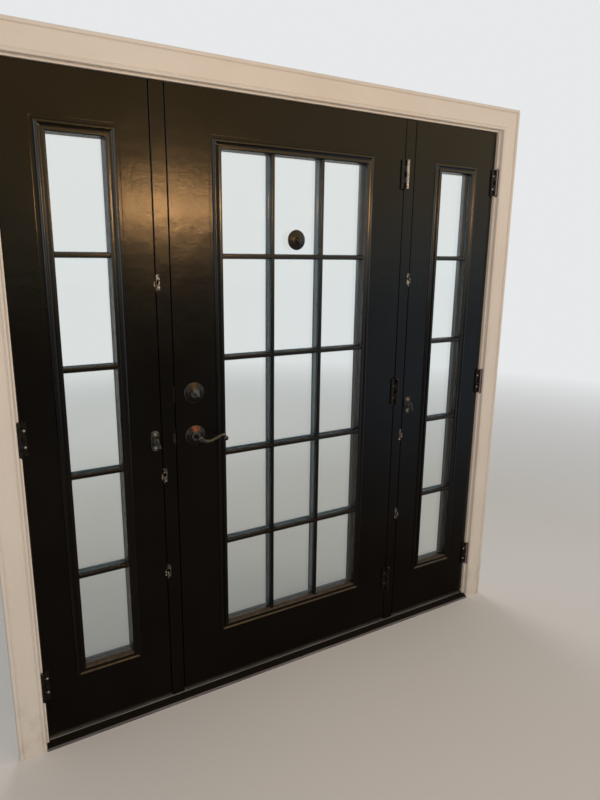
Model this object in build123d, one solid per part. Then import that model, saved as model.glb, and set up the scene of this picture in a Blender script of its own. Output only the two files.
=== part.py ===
"""French door unit: three glazed leaves that swing into the room, in one painted frame.

The middle leaf is a full door with fifteen lites, a lever set and a deadbolt. A narrow leaf
with five lites stands on each side of it, hinged on the jamb and held by studs on a drive bar.
Millimetres. X runs along the wall, Y points outdoors, Z points up. The origin is on the floor,
in the middle of the unit, under the leaves' room face.
"""

import os

from build123d import *

# Leaves
LEAF_HEIGHT = 2032.0
LEAF_THICK = 44.5
MIDDLE_WIDTH = 914.0
SIDE_WIDTH = 419.0
LEAF_GAP = 3.0
LOCK_EDGE_BEVEL = 2.3
ARRIS = 1.2
SWEEP_GAP = 11.0

# Frame members
MULLION_WIDTH = 45.0
JAMB_DEPTH = 116.0
JAMB_THICK = 19.0
JAMB_PROUD = 8.0
STOP_STEP = 12.5
STOP_SETBACK = 6.0
KERF_WIDTH = 3.0
KERF_DEPTH = 8.0
KERF_OFFSET = 4.0
SEAL_WIDTH = 9.0
SEAL_STEM = 2.6
SEAL_STEM_DEPTH = 7.5

# Threshold and sweeps
SILL_HEIGHT = 20.0
SILL_NOSE_REACH = 31.0
SILL_NOSE_HEIGHT = 6.0
SILL_EDGE = 2.0
SILL_APRON_REACH = 24.0
SILL_APRON_HEIGHT = 9.0
SILL_APRON_EDGE = 4.0
CAP_HEIGHT = 5.0
CAP_INSET = 1.5
CAP_ROUND = 2.0
SEAT_CLEARANCE = 0.3
SWEEP_INSET = 6.0
SWEEP_SETBACK = 4.0
SWEEP_FIN = 6.0
SWEEP_ROOT = 4.0

# Casing
CASING_WIDTH = 83.0
CASING_INNER_THICK = 17.5
CASING_FIELD_THICK = 15.0
CASING_OUTER_THICK = 19.5
CASING_BEAD = 10.5
CASING_BAND = 13.0
CASING_ROUND = 3.0
SIDE_REVEAL = 8.5
HEAD_REVEAL = 6.5

# Lites
MIDDLE_STILE = 143.5
SIDE_STILE = 99.5
TOP_RAIL = 136.0
BOTTOM_RAIL = 181.0
LITE_LIP = 33.0
LITE_BEAD = 13.0
LITE_QUIRK = 4.5
LITE_RIM = 10.5
LITE_PROUD = 8.0
LITE_TONGUE = 12.0
MUNTIN_WIDTH = 22.0
MUNTIN_FLAT = 12.0
MUNTIN_PROUD = 2.5
LITE_ROWS = 5
MIDDLE_COLUMNS = 3
GLASS_UNIT_THICK = 25.4
PANE_THICK = 4.0
GLASS_EDGE = 9.5
SPACER_WIDTH = 7.0
SPACER_SIGHT = 1.0

# Hinges
HINGE_HEIGHT = 102.0
HINGE_END_DISTANCE = 190.0
BARREL_RADIUS = 5.5
BARREL_FORWARD = 14.0
BARREL_ASIDE = 5.5
PIN_RADIUS = 2.95
PIN_TIP_STEPS = ((4.4, 0.0), (3.4, 1.3), (2.2, 3.3), (0.0, 4.5))
RUNNING_CLEARANCE = 0.05
KNUCKLES = 5
KNUCKLE_GAP = 0.4
HINGE_PLATE = 2.5
HINGE_PLATE_DEPTH = 22.0
PLATE_SETBACK = 1.0
HINGE_BLOCK_WIDTH = 16.5
HINGE_BLOCK_THICK = 7.0
HINGE_BLOCK_BEVEL = 1.8
HINGE_SCREW_SPACING = 50.0
HINGE_SCREW_INSET = 9.0

# Lever set and deadbolt of the middle leaf
BACKSET = 65.0
LEVER_HEIGHT = 988.0
LOCK_SPACING = 147.0
EDGE_SETBACK = 1.9
CROSS_BORE_RADIUS = 27.0
EDGE_BORE_RADIUS = 12.7
ROSE_RADIUS = 35.0
ROSE_THICK = 11.0
ROSE_STEPS = (
    (0, 2.5), (1.5, 4), (5, 4.8), (6.5, 6.5), (11, 7.5), (12.5, 9.2), (17, 10.2), (19, ROSE_THICK)
)
LEVER_NECK_RADIUS = 8.0
LEVER_WAIST_RADIUS = 7.0
LEVER_BOSS_RADIUS = 9.5
LEVER_BOSS_HALF = 5.0
LEVER_PROJECTION = 50.0
LEVER_SPINE = ((0, 0), (12, -9), (30, -13.5), (47, -7), (64, 1), (78, 5), (87, -1))
LEVER_HALF_HEIGHT = 5.5
LEVER_HALF_DEPTH = 6.5
LEVER_TIP = (90.0, -9.0)
LEVER_TIP_RADIUS = 9.0
LEVER_TIP_ROUND = 2.5
SPINDLE_SIDE = 8.0
SPINDLE_REACH = 24.5
BOLT_THICK = 12.7
BOLT_HEIGHT = 17.0
BOLT_CLEARANCE = 0.25
BOLT_THROW = 25.0
LATCH_THROW = 12.0
BOLT_LENGTH = 55.0
CASE_WALL = 1.5
CASE_OVERLAP = 6.0
FACEPLATE_WIDTH = 25.0
FACEPLATE_HEIGHT = 57.0
FACEPLATE_THICK = 2.2
STRIKE_THICK = 1.6
STRIKE_LIP = 9.0
STRIKE_LIP_SHARE = 0.55
STRIKE_CLEARANCE = 1.5
STRIKE_SCREW_INSET = 7.0
THUMBTURN_SHAFT = 5.0
THUMBTURN_TAIL = 3.0
THUMBTURN_COLLAR = 8.0
THUMBTURN_COLLAR_THICK = 2.0
THUMBTURN_STAND_OFF = 15.0
THUMBTURN_LENGTH = 33.0
THUMBTURN_THICK = 8.0
THUMBTURN_DEPTH = 12.0
THUMBTURN_ROUND = 5.5
THUMBTURN_LEAN = 45.0
CYLINDER_RADIUS = 31.5
CYLINDER_HEIGHT = 15.0
PLUG_RADIUS = 10.0
PLUG_GROOVE = 1.5
KEY_SLOT_WIDTH = 2.0
KEY_SLOT_HEIGHT = 9.0
KEY_SLOT_DEPTH = 7.0

# Drive-bar locks of the side leaves
SIDE_LOCK_INSET = 22.0
LOCK_PLATE_WIDTH = 28.0
LOCK_PLATE_HEIGHT = 70.0
LOCK_PLATE_THICK = 4.0
LOCK_PLATE_CHAMFER = 1.6
LOCK_SCREW_SPACING = 46.0
LOCK_BOSS_RADIUS = 9.5
LOCK_BOSS_HEIGHT = 5.0
LOCK_HUB_RADIUS = 8.5
LOCK_HUB_HEIGHT = 10.5
LOCK_SHAFT_RADIUS = 4.0
LOCK_SHAFT_BORE = 7.0
PADDLE_LENGTH = 37.0
PADDLE_WIDTH = 8.0
PADDLE_DEPTH = 9.0
PADDLE_LEAN = 18.0
PADDLE_ASIDE = 4.0
PADDLE_DROP = 4.0
PADDLE_ROUND = 3.0
STUD_HEIGHTS = (517.0, 866.0, 1496.0)
STUD_RADIUS = 3.5
STUD_REACH = 9.0
STUD_TRAVEL = 16.0
STUD_DEPTH = 14.0
STUD_CLEARANCE = 1.0
POCKET_SPARE = 1.6
BAR_WIDTH = 16.0
BAR_THICK = 3.0
BAR_OVERRUN = 45.0
BAR_SETBACK = 1.3
BAR_GAP = 0.3
STRIP_THICK = 2.0
STRIP_SLOT_CLEARANCE = 0.4
GROOVE_SPARE = 0.5
GROOVE_BACK = 1.5
GROOVE_END = 4.0
KEEPER_HEIGHT = 52.0
KEEPER_FACE = 10.5
KEEPER_FACE_HEIGHT = 47.0
KEEPER_FACE_DROP = 0.8
KEEPER_NOTCH = 12.0
KEEPER_SIDE = 22.0
KEEPER_THICK = 1.6
KEEPER_SCREW_INSET = 5.5

# Fasteners and the hook on the glass
SCREW_SHANK = 2.2
SCREW_HEAD = 3.8
SCREW_HEAD_HEIGHT = 2.4
SCREW_LENGTH = 22.0
SHORT_SCREW_LENGTH = 15.0
RECESS_LENGTH = 4.2
RECESS_WIDTH = 1.0
RECESS_DEPTH = 1.0
INSTALL_HOLE_RADIUS = 2.75
INSTALL_SPACING = 1700.0
HOOK_CUP_RADIUS = 34.0
HOOK_CUP_HEIGHT = 9.0
HOOK_KNOB_RADIUS = 9.0
HOOK_KNOB_HEIGHT = 7.5
HOOK_WIDTH = 7.0
HOOK_THICK = 3.0
HOOK_REACH = 12.5
HOOK_DROP = 17.0
HOOK_ABOVE_BAR = 12.0

# Places that follow from the sizes above
SIDE_OPENING = SIDE_WIDTH + 2 * LEAF_GAP
MIDDLE_OPENING = MIDDLE_WIDTH + 2 * LEAF_GAP
HALF_OPENING = MIDDLE_OPENING / 2 + MULLION_WIDTH + SIDE_OPENING
CAP_TOP = SILL_HEIGHT + CAP_HEIGHT
CAP_FRONT = CAP_INSET
CAP_BACK = LEAF_THICK - CAP_INSET
LEAF_BOTTOM = CAP_TOP + SWEEP_GAP
LEAF_TOP = LEAF_BOTTOM + LEAF_HEIGHT
HEAD_FACE = LEAF_TOP + LEAF_GAP
JAMB_FRONT = -JAMB_PROUD
JAMB_BACK = JAMB_FRONT + JAMB_DEPTH
STOP_FACE = LEAF_THICK + STOP_SETBACK
JAMB_OUTER = HALF_OPENING + JAMB_THICK
HEAD_TOP = HEAD_FACE + JAMB_THICK
MIDDLE_LEFT = -MIDDLE_WIDTH / 2
MIDDLE_RIGHT = MIDDLE_WIDTH / 2
LEFT_LEAF_LEFT = -HALF_OPENING + LEAF_GAP
LEFT_LEAF_RIGHT = LEFT_LEAF_LEFT + SIDE_WIDTH
RIGHT_LEAF_RIGHT = HALF_OPENING - LEAF_GAP
RIGHT_LEAF_LEFT = RIGHT_LEAF_RIGHT - SIDE_WIDTH
MULLION_INNER = MIDDLE_OPENING / 2
MULLION_OUTER = MULLION_INNER + MULLION_WIDTH
MIDDLE_FRAME_WIDTH = MIDDLE_WIDTH - 2 * MIDDLE_STILE
SIDE_FRAME_WIDTH = SIDE_WIDTH - 2 * SIDE_STILE
LITE_FRAME_HEIGHT = LEAF_HEIGHT - BOTTOM_RAIL - TOP_RAIL
LITE_BOTTOM = LEAF_BOTTOM + BOTTOM_RAIL
LITE_MIDDLE = LITE_BOTTOM + LITE_FRAME_HEIGHT / 2
GLASS_FRONT = (LEAF_THICK - GLASS_UNIT_THICK) / 2
GLASS_BACK = GLASS_FRONT + GLASS_UNIT_THICK
HINGE_HEIGHTS = (
    LEAF_BOTTOM + HINGE_END_DISTANCE,
    LEAF_BOTTOM + LEAF_HEIGHT / 2,
    LEAF_TOP - HINGE_END_DISTANCE,
)
LOCK_X = MIDDLE_LEFT + BACKSET
BOLT_Y = LEAF_THICK / 2
DEADBOLT_HEIGHT = LEVER_HEIGHT + LOCK_SPACING


def block(x0, x1, y0, y1, z0, z1):
    """A box between two limits on each axis, given in either order."""
    box = Box(abs(x1 - x0), abs(y1 - y0), abs(z1 - z0))
    return Pos((x0 + x1) / 2, (y0 + y1) / 2, (z0 + z1) / 2) * box


def rod_x(x0, x1, y, z, radius):
    """A round rod along X."""
    rod = Rotation(0, 90, 0) * Cylinder(radius, abs(x1 - x0))
    return Pos((x0 + x1) / 2, y, z) * rod


def rod_y(x, y0, y1, z, radius):
    """A round rod along Y."""
    rod = Rotation(90, 0, 0) * Cylinder(radius, abs(y1 - y0))
    return Pos(x, (y0 + y1) / 2, z) * rod


def rod_z(x, y, z0, z1, radius):
    """A round rod along Z."""
    return Pos(x, y, (z0 + z1) / 2) * Cylinder(radius, abs(z1 - z0))


def upright(points, z0, z1):
    """A section drawn in plan, stood up between two heights."""
    face = make_face(Polyline(*points, close=True))
    return Pos(0, 0, z0) * extrude(face, amount=z1 - z0, dir=(0, 0, 1))


def lengthwise(points, x0, x1):
    """A section drawn as (y, z), run along X between two places."""
    outline = [(x0, y, z) for y, z in points]
    face = make_face(Polyline(*outline, close=True))
    return extrude(face, amount=x1 - x0, dir=(1, 0, 0))


def plate(points, y0, y1):
    """An outline drawn as (x, z), given thickness along Y."""
    outline = [(x, y0, z) for x, z in points]
    face = make_face(Polyline(*outline, close=True))
    return extrude(face, amount=y1 - y0, dir=(0, 1, 0))


def turned(profile, x, z, face, outwards):
    """A solid of revolution about a line along Y.

    The profile holds (radius, height) pairs, and the height grows from the given face
    outwards: -1 is towards the room and 1 is towards the outdoors.
    """
    outline = [(r, h, 0) for r, h in profile]
    solid = revolve(make_face(Polyline(*outline, close=True)), Axis.Y)
    if outwards < 0:
        solid = mirror(solid, Plane.XZ)
    return Pos(x, face, z) * solid


def export(node, solids):
    """Writes one sub-part, which may be a group of separate solids."""
    shape = solids
    if isinstance(solids, list):
        shape = Compound(children=[s for part in solids for s in part.solids()])
    export_step(shape, f"parts/{node}.step")
    print(f"{node}: {len(shape.solids())} solids, {shape.volume / 1000:.1f} cm3")


# Frame members


def jamb(side):
    """One side jamb: a board with a rabbet for the leaf, a seal kerf and two screw holes."""
    face = side * HALF_OPENING
    outer = side * JAMB_OUTER
    stop = side * (HALF_OPENING - STOP_STEP)
    section = [
        (outer, JAMB_FRONT),
        (face, JAMB_FRONT),
        (face, STOP_FACE),
        (stop, STOP_FACE),
        (stop, JAMB_BACK),
        (outer, JAMB_BACK),
    ]
    board = upright(section, 0, HEAD_TOP)
    board -= block(face, stop, STOP_FACE, JAMB_BACK, HEAD_FACE, HEAD_TOP)
    board -= lengthwise(sill_profile(), -JAMB_OUTER, JAMB_OUTER)
    board -= seal_kerfs()
    board -= hinge_mortises(side * (HALF_OPENING - LEAF_GAP), side)
    for z in install_heights():
        board -= rod_x(outer, stop, (STOP_FACE + JAMB_BACK) / 2, z, INSTALL_HOLE_RADIUS)
    return board


def install_heights():
    """Heights of the two holes through a side jamb for the screws into the wall."""
    middle = (LEAF_BOTTOM + LEAF_TOP) / 2
    return (middle - INSTALL_SPACING / 2, middle + INSTALL_SPACING / 2)


def seal_kerfs():
    """The slots in the stops that hold the seals' stems, round three sides of each opening."""
    kerfs = []
    back = STOP_FACE + KERF_DEPTH
    near = KERF_OFFSET
    far = KERF_OFFSET + KERF_WIDTH
    for left, right in openings():
        kerf = block(left + near, right - near, STOP_FACE, back, 0, HEAD_FACE - near)
        kerf -= block(left + far, right - far, STOP_FACE, back, 0, HEAD_FACE - far)
        kerfs.append(kerf)
    return kerfs


def openings():
    """The left and right faces of the three openings."""
    return (
        (-HALF_OPENING, -MULLION_OUTER),
        (-MULLION_INNER, MULLION_INNER),
        (MULLION_OUTER, HALF_OPENING),
    )


def head_jamb():
    """The head: the same rabbeted board, laid flat between the side jambs."""
    stop = HEAD_FACE - STOP_STEP
    section = [
        (JAMB_FRONT, HEAD_FACE),
        (STOP_FACE, HEAD_FACE),
        (STOP_FACE, stop),
        (JAMB_BACK, stop),
        (JAMB_BACK, HEAD_TOP),
        (JAMB_FRONT, HEAD_TOP),
    ]
    board = lengthwise(section, -HALF_OPENING, HALF_OPENING)
    for side in (-1, 1):
        x0 = side * HALF_OPENING
        x1 = side * (HALF_OPENING - STOP_STEP)
        board -= block(x0, x1, STOP_FACE, JAMB_BACK, stop, HEAD_FACE)
    return board - seal_kerfs()


def mullion(side):
    """A post between two leaves, with a rabbet on each side."""
    inner = side * MULLION_INNER
    outer = side * MULLION_OUTER
    section = [
        (inner, ARRIS),
        (inner + side * ARRIS, 0),
        (outer - side * ARRIS, 0),
        (outer, ARRIS),
        (outer, STOP_FACE),
        (outer + side * STOP_STEP, STOP_FACE),
        (outer + side * STOP_STEP, JAMB_BACK),
        (inner - side * STOP_STEP, JAMB_BACK),
        (inner - side * STOP_STEP, STOP_FACE),
        (inner, STOP_FACE),
    ]
    post = upright(section, 0, HEAD_FACE)
    reach = STOP_STEP + 1
    x0 = inner - side * reach
    x1 = outer + side * reach
    post -= block(x0, x1, STOP_FACE, JAMB_BACK, HEAD_FACE - STOP_STEP, HEAD_FACE)
    post -= lengthwise(sill_profile(), -JAMB_OUTER, JAMB_OUTER)
    post -= block(x0, x1, CAP_FRONT, CAP_BACK, SILL_HEIGHT, CAP_TOP)
    post -= seal_kerfs()
    post -= keeper_pockets(side)
    if side < 0:
        post -= strike_pockets()
    else:
        post -= hinge_mortises(MIDDLE_RIGHT, 1)
    return post


def sill_profile():
    """Section of the threshold as (y, z): a nose to the room and a slope to the outdoors."""
    back = JAMB_BACK + SILL_APRON_REACH
    return [
        (-SILL_NOSE_REACH, 0),
        (-SILL_NOSE_REACH, SILL_NOSE_HEIGHT - SILL_EDGE),
        (-SILL_NOSE_REACH + SILL_EDGE, SILL_NOSE_HEIGHT),
        (-SILL_EDGE, SILL_HEIGHT - SILL_EDGE / 2),
        (0, SILL_HEIGHT),
        (STOP_FACE, SILL_HEIGHT),
        (back - SILL_APRON_EDGE, SILL_APRON_HEIGHT),
        (back, SILL_APRON_HEIGHT - SILL_APRON_EDGE),
        (back, 0),
    ]


def sill():
    """The threshold body, notched at both ends round the casing's feet."""
    body = lengthwise(sill_profile(), -JAMB_OUTER, JAMB_OUTER)
    apron_end = JAMB_BACK + SILL_APRON_REACH + 1
    for side in (-1, 1):
        x0 = side * (HALF_OPENING + SIDE_REVEAL - SEAT_CLEARANCE)
        x1 = side * (JAMB_OUTER + 1)
        body -= block(x0, x1, -SILL_NOSE_REACH - 1, JAMB_FRONT, -1, SILL_HEIGHT + 1)
        body -= block(side * HALF_OPENING, x1, JAMB_BACK, apron_end, -1, SILL_HEIGHT)
    return body


def threshold_cap():
    """The adjustable cap that the leaves' sweeps close on, with rounded long edges."""
    cap = block(-HALF_OPENING, HALF_OPENING, CAP_FRONT, CAP_BACK, SILL_HEIGHT, CAP_TOP)
    edges = cap.edges().filter_by(Axis.X).group_by(Axis.Z)[-1]
    return fillet(edges, radius=CAP_ROUND)


def casing_section():
    """Section of the casing as (distance from its inner edge, thickness off the wall).

    A rounded bead stands along the inner edge and a thicker band along the outer one, with
    a plain field between them.
    """
    inner = CASING_INNER_THICK
    field = CASING_FIELD_THICK
    outer = CASING_OUTER_THICK
    width = CASING_WIDTH
    bead = CASING_BEAD
    band = CASING_WIDTH - CASING_BAND
    r = CASING_ROUND
    small = 0.3 * r
    return [
        (0, 0),
        (0, inner - r),
        (small, inner - small),
        (r, inner),
        (bead - r, inner),
        (bead - small, inner - small),
        (bead, field),
        (band, field + 1),
        (band + r / 2, outer - small),
        (band + r, outer),
        (width - r, outer),
        (width - small, outer - small),
        (width, outer - r),
        (width, 0),
    ]


def casing_side(side):
    """One upright casing board, mitred at its top."""
    edge = HALF_OPENING + SIDE_REVEAL
    section = [(side * (edge + u), JAMB_FRONT - t) for u, t in casing_section()]
    top = HEAD_FACE + HEAD_REVEAL
    board = upright(section, 0, top + CASING_WIDTH)
    mitre = [
        (side * (edge - 1), top - 1),
        (side * (edge + CASING_WIDTH + 1), top + CASING_WIDTH + 1),
        (side * (edge - 1), top + CASING_WIDTH + 1),
    ]
    return board - plate(mitre, JAMB_FRONT - CASING_OUTER_THICK - 1, JAMB_FRONT + 1)


def casing_head():
    """The head casing, mitred at both ends."""
    edge = HALF_OPENING + SIDE_REVEAL
    top = HEAD_FACE + HEAD_REVEAL
    section = [(JAMB_FRONT - t, top + u) for u, t in casing_section()]
    reach = edge + CASING_WIDTH
    board = lengthwise(section, -reach, reach)
    for side in (-1, 1):
        mitre = [
            (side * (edge - 1), top - 1),
            (side * (reach + 1), top + CASING_WIDTH + 1),
            (side * (reach + 1), top - 1),
        ]
        board -= plate(mitre, JAMB_FRONT - CASING_OUTER_THICK - 1, JAMB_FRONT + 1)
    return board


def weatherstrip():
    """The seals: a bulb on three sides of each opening, its stem pressed into the kerf."""
    seals = []
    for left, right in openings():
        y0 = LEAF_THICK + SEAT_CLEARANCE
        foot = CAP_TOP
        bulb = block(left, right, y0, STOP_FACE, foot, HEAD_FACE)
        inside = block(
            left + SEAL_WIDTH, right - SEAL_WIDTH, y0, STOP_FACE, foot, HEAD_FACE - SEAL_WIDTH
        )
        bulb -= inside
        middle = KERF_OFFSET + KERF_WIDTH / 2
        a = middle - SEAL_STEM / 2
        b = middle + SEAL_STEM / 2
        y1 = STOP_FACE + SEAL_STEM_DEPTH
        stem = block(left + a, right - a, STOP_FACE, y1, foot, HEAD_FACE - a)
        stem -= block(left + b, right - b, STOP_FACE, y1, foot, HEAD_FACE - b)
        seals.append(bulb + stem)
    return seals


# Leaves


def leaf(left, right, hinge_side, frame_width):
    """A leaf slab with the lite cut-out, its lock edge bevelled back by a few degrees."""
    bevel_left = LOCK_EDGE_BEVEL if hinge_side > 0 else 0
    bevel_right = LOCK_EDGE_BEVEL if hinge_side < 0 else 0
    section = [
        (left, ARRIS),
        (left + ARRIS, 0),
        (right - ARRIS, 0),
        (right, ARRIS),
        (right - bevel_right, LEAF_THICK - ARRIS),
        (right - bevel_right - ARRIS, LEAF_THICK),
        (left + bevel_left + ARRIS, LEAF_THICK),
        (left + bevel_left, LEAF_THICK - ARRIS),
    ]
    slab = upright(section, LEAF_BOTTOM, LEAF_TOP)
    middle = (left + right) / 2
    half_width = frame_width / 2 - LITE_LIP + LITE_TONGUE
    half_height = LITE_FRAME_HEIGHT / 2 - LITE_LIP + LITE_TONGUE
    slab -= block(
        middle - half_width,
        middle + half_width,
        0,
        LEAF_THICK,
        LITE_MIDDLE - half_height,
        LITE_MIDDLE + half_height,
    )
    edge = right if hinge_side > 0 else left
    inwards = -hinge_side
    slab -= [hole for hole in hinge_screws(edge, inwards, holes=True)]
    return slab


def ring(section, middle, width, height):
    """A mitred rectangular ring about a daylight opening.

    The section holds (distance outside the daylight edge, y) pairs.
    """
    reach = max(u for u, y in section)
    y_low = min(y for u, y in section) - 1
    y_high = max(y for u, y in section) + 1
    sides = []
    for side in (-1, 1):
        plan = [(middle + side * (width / 2 + u), y) for u, y in section]
        bar = upright(plan, LITE_MIDDLE - height / 2 - reach, LITE_MIDDLE + height / 2 + reach)
        near = middle + side * width / 2
        far = near + side * reach
        wedge = [
            (near, LITE_MIDDLE - height / 2),
            (far, LITE_MIDDLE - height / 2 - reach),
            (far, LITE_MIDDLE + height / 2 + reach),
            (near, LITE_MIDDLE + height / 2),
        ]
        sides.append(bar & plate(wedge, y_low, y_high))
        profile = [(y, LITE_MIDDLE + side * (height / 2 + u)) for u, y in section]
        bar = lengthwise(profile, middle - width / 2 - reach, middle + width / 2 + reach)
        near = LITE_MIDDLE + side * height / 2
        far = near + side * reach
        wedge = [
            (middle - width / 2, near),
            (middle - width / 2 - reach, far),
            (middle + width / 2 + reach, far),
            (middle + width / 2, near),
        ]
        sides.append(bar & plate(wedge, y_low, y_high))
    return sides[0] + sides[1:]


def lite_section():
    """Room-side section of the moulded lite frame, from the daylight edge outwards.

    A steep reveal rises from the glass to a flat bead. Outside the bead lie a quirk, a cove
    that rises away from it, and a raised rim with a flank down to the leaf.
    """
    front = -LITE_PROUD
    quirk = front + LITE_QUIRK
    cove = LITE_BEAD + 2
    rim = LITE_LIP - LITE_RIM
    rise = rim - cove
    return [
        (0, GLASS_FRONT),
        (2.2, front + 2.2),
        (4.4, front),
        (LITE_BEAD - 1, front),
        (LITE_BEAD + 0.6, front + 1),
        (LITE_BEAD + 1, quirk),
        (cove, quirk),
        (cove + 0.5 * rise, quirk - 0.22 * LITE_QUIRK),
        (cove + 0.85 * rise, quirk - 0.6 * LITE_QUIRK),
        (rim, front + 0.4),
        (rim + 2, front),
        (LITE_LIP - 6, front + 0.5),
        (LITE_LIP - 2.5, front + 3),
        (LITE_LIP - 0.8, -1.8),
        (LITE_LIP, 0),
        (LITE_TONGUE, 0),
        (LITE_TONGUE, GLASS_FRONT),
    ]


def muntin_section():
    """Half section of a muntin bar, as (distance from its middle, y)."""
    half = MUNTIN_WIDTH / 2
    flat = MUNTIN_FLAT / 2
    return [
        (half, GLASS_FRONT),
        (half - 0.6, GLASS_FRONT - 4),
        (flat + 1.6, -MUNTIN_PROUD + 2.4),
        (flat + 0.4, -MUNTIN_PROUD + 0.5),
        (flat - 0.6, -MUNTIN_PROUD),
    ]


def lite_frame(middle, width, columns, outdoors=False):
    """The moulded frame that clamps the glass, with its muntin grid, as one piece."""
    day_width = width - 2 * LITE_LIP
    day_height = LITE_FRAME_HEIGHT - 2 * LITE_LIP
    frame = ring(lite_section(), middle, day_width, day_height)
    half = muntin_section()
    bar = [(u, y) for u, y in half] + [(-u, y) for u, y in reversed(half)]
    buried = LITE_TONGUE - 2
    bars = []
    pitch = (day_width + MUNTIN_WIDTH) / columns
    for i in range(1, columns):
        x = middle - (day_width + MUNTIN_WIDTH) / 2 + i * pitch
        plan = [(x + u, y) for u, y in bar]
        low = LITE_MIDDLE - day_height / 2 - buried
        high = LITE_MIDDLE + day_height / 2 + buried
        bars.append(upright(plan, low, high))
    pitch = (day_height + MUNTIN_WIDTH) / LITE_ROWS
    for i in range(1, LITE_ROWS):
        z = LITE_MIDDLE - (day_height + MUNTIN_WIDTH) / 2 + i * pitch
        profile = [(y, z + u) for u, y in bar]
        left = middle - day_width / 2 - buried
        right = middle + day_width / 2 + buried
        bars.append(lengthwise(profile, left, right))
    frame = frame + bars
    if outdoors:
        frame = mirror(frame, Plane.XZ.offset(-LEAF_THICK / 2))
    return frame


def glass_unit(middle, width):
    """A sealed double-glazing unit: two panes that close one cavity."""
    half_x = width / 2 - LITE_LIP + GLASS_EDGE
    half_z = LITE_FRAME_HEIGHT / 2 - LITE_LIP + GLASS_EDGE
    low = LITE_MIDDLE - half_z
    high = LITE_MIDDLE + half_z
    panes = []
    for y0 in (GLASS_FRONT, GLASS_BACK - PANE_THICK):
        panes.append(block(middle - half_x, middle + half_x, y0, y0 + PANE_THICK, low, high))
    return panes


def spacer(middle, width):
    """The metal spacer bar that holds the two panes apart round their edge."""
    day_width = width - 2 * LITE_LIP
    day_height = LITE_FRAME_HEIGHT - 2 * LITE_LIP
    near = SPACER_SIGHT
    far = SPACER_SIGHT + SPACER_WIDTH
    y0 = GLASS_FRONT + PANE_THICK
    y1 = GLASS_BACK - PANE_THICK
    section = [(near, y0), (near, y1), (far, y1), (far, y0)]
    return ring(section, middle, day_width, day_height)


def sweep_strip(left, right):
    """The soft strip under a leaf, with two fins that close on the threshold cap."""
    foot = CAP_TOP + SEAT_CLEARANCE
    root = LEAF_BOTTOM - SWEEP_ROOT
    front = SWEEP_SETBACK
    back = LEAF_THICK - SWEEP_SETBACK
    half_fin = SWEEP_FIN / 2
    profile = [
        (front, LEAF_BOTTOM),
        (front, foot + half_fin),
        (front + half_fin, foot),
        (front + SWEEP_FIN, foot),
        (front + SWEEP_FIN + 2, root),
        (back - SWEEP_FIN - 2, root),
        (back - SWEEP_FIN, foot),
        (back - half_fin, foot),
        (back, foot + half_fin),
        (back, LEAF_BOTTOM),
    ]
    return lengthwise(profile, left + SWEEP_INSET, right - SWEEP_INSET)


# Hinges


def knuckle_spans():
    """Start and end of each knuckle along the barrel, from the hinge's middle."""
    step = HINGE_HEIGHT / KNUCKLES
    spans = []
    for i in range(KNUCKLES):
        low = -HINGE_HEIGHT / 2 + i * step
        spans.append((low + KNUCKLE_GAP / 2, low + step - KNUCKLE_GAP / 2))
    return spans


def hinge_axis(edge, hinge_side):
    """Plan position of the barrel beside a leaf edge; hinge_side is 1 on the right."""
    return edge + hinge_side * BARREL_ASIDE, -BARREL_FORWARD


def hinge_mortises(edge, hinge_side):
    """Recesses in the jamb or mullion for the three frame-side hinge plates."""
    face = edge + hinge_side * LEAF_GAP
    cuts = []
    for z in HINGE_HEIGHTS:
        cuts += hinge_plate(edge, hinge_side, z)
        for screw_z in plate_screw_heights(z):
            far = face + hinge_side * SHORT_SCREW_LENGTH
            cuts.append(rod_x(face, far, HINGE_PLATE_DEPTH / 2, screw_z, SCREW_SHANK))
    return cuts


def hinge_plate(edge, hinge_side, z):
    """The flat of a frame-side hinge: it comes forward only behind its own knuckles."""
    face = edge + hinge_side * LEAF_GAP
    rear = face + hinge_side * HINGE_PLATE
    z0 = z - HINGE_HEIGHT / 2
    z1 = z + HINGE_HEIGHT / 2
    flat = [block(face, rear, -PLATE_SETBACK, HINGE_PLATE_DEPTH, z0, z1)]
    for low, high in knuckle_spans()[0::2]:
        flat.append(block(face, rear, -BARREL_FORWARD, 0, z + low, z + high))
    return flat


def plate_screw_heights(z):
    """Heights of the three screws that hold a frame-side hinge plate."""
    return (z - HINGE_HEIGHT / 3, z, z + HINGE_HEIGHT / 3)


def frame_hinge(edge, hinge_side, z):
    """Frame-side half of a hinge: a plate let into the jamb, with three knuckles."""
    x, y = hinge_axis(edge, hinge_side)
    face = edge + hinge_side * LEAF_GAP
    flat = hinge_plate(edge, hinge_side, z)
    barrel = [rod_z(x, y, z + a, z + b, BARREL_RADIUS) for a, b in knuckle_spans()[0::2]]
    solid = flat[0] + (flat[1:] + barrel)
    solid -= rod_z(x, y, z - HINGE_HEIGHT, z + HINGE_HEIGHT, PIN_RADIUS)
    for screw_z in plate_screw_heights(z):
        solid -= countersunk_screw(face, hinge_side, HINGE_PLATE_DEPTH / 2, screw_z)
    return solid


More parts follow.
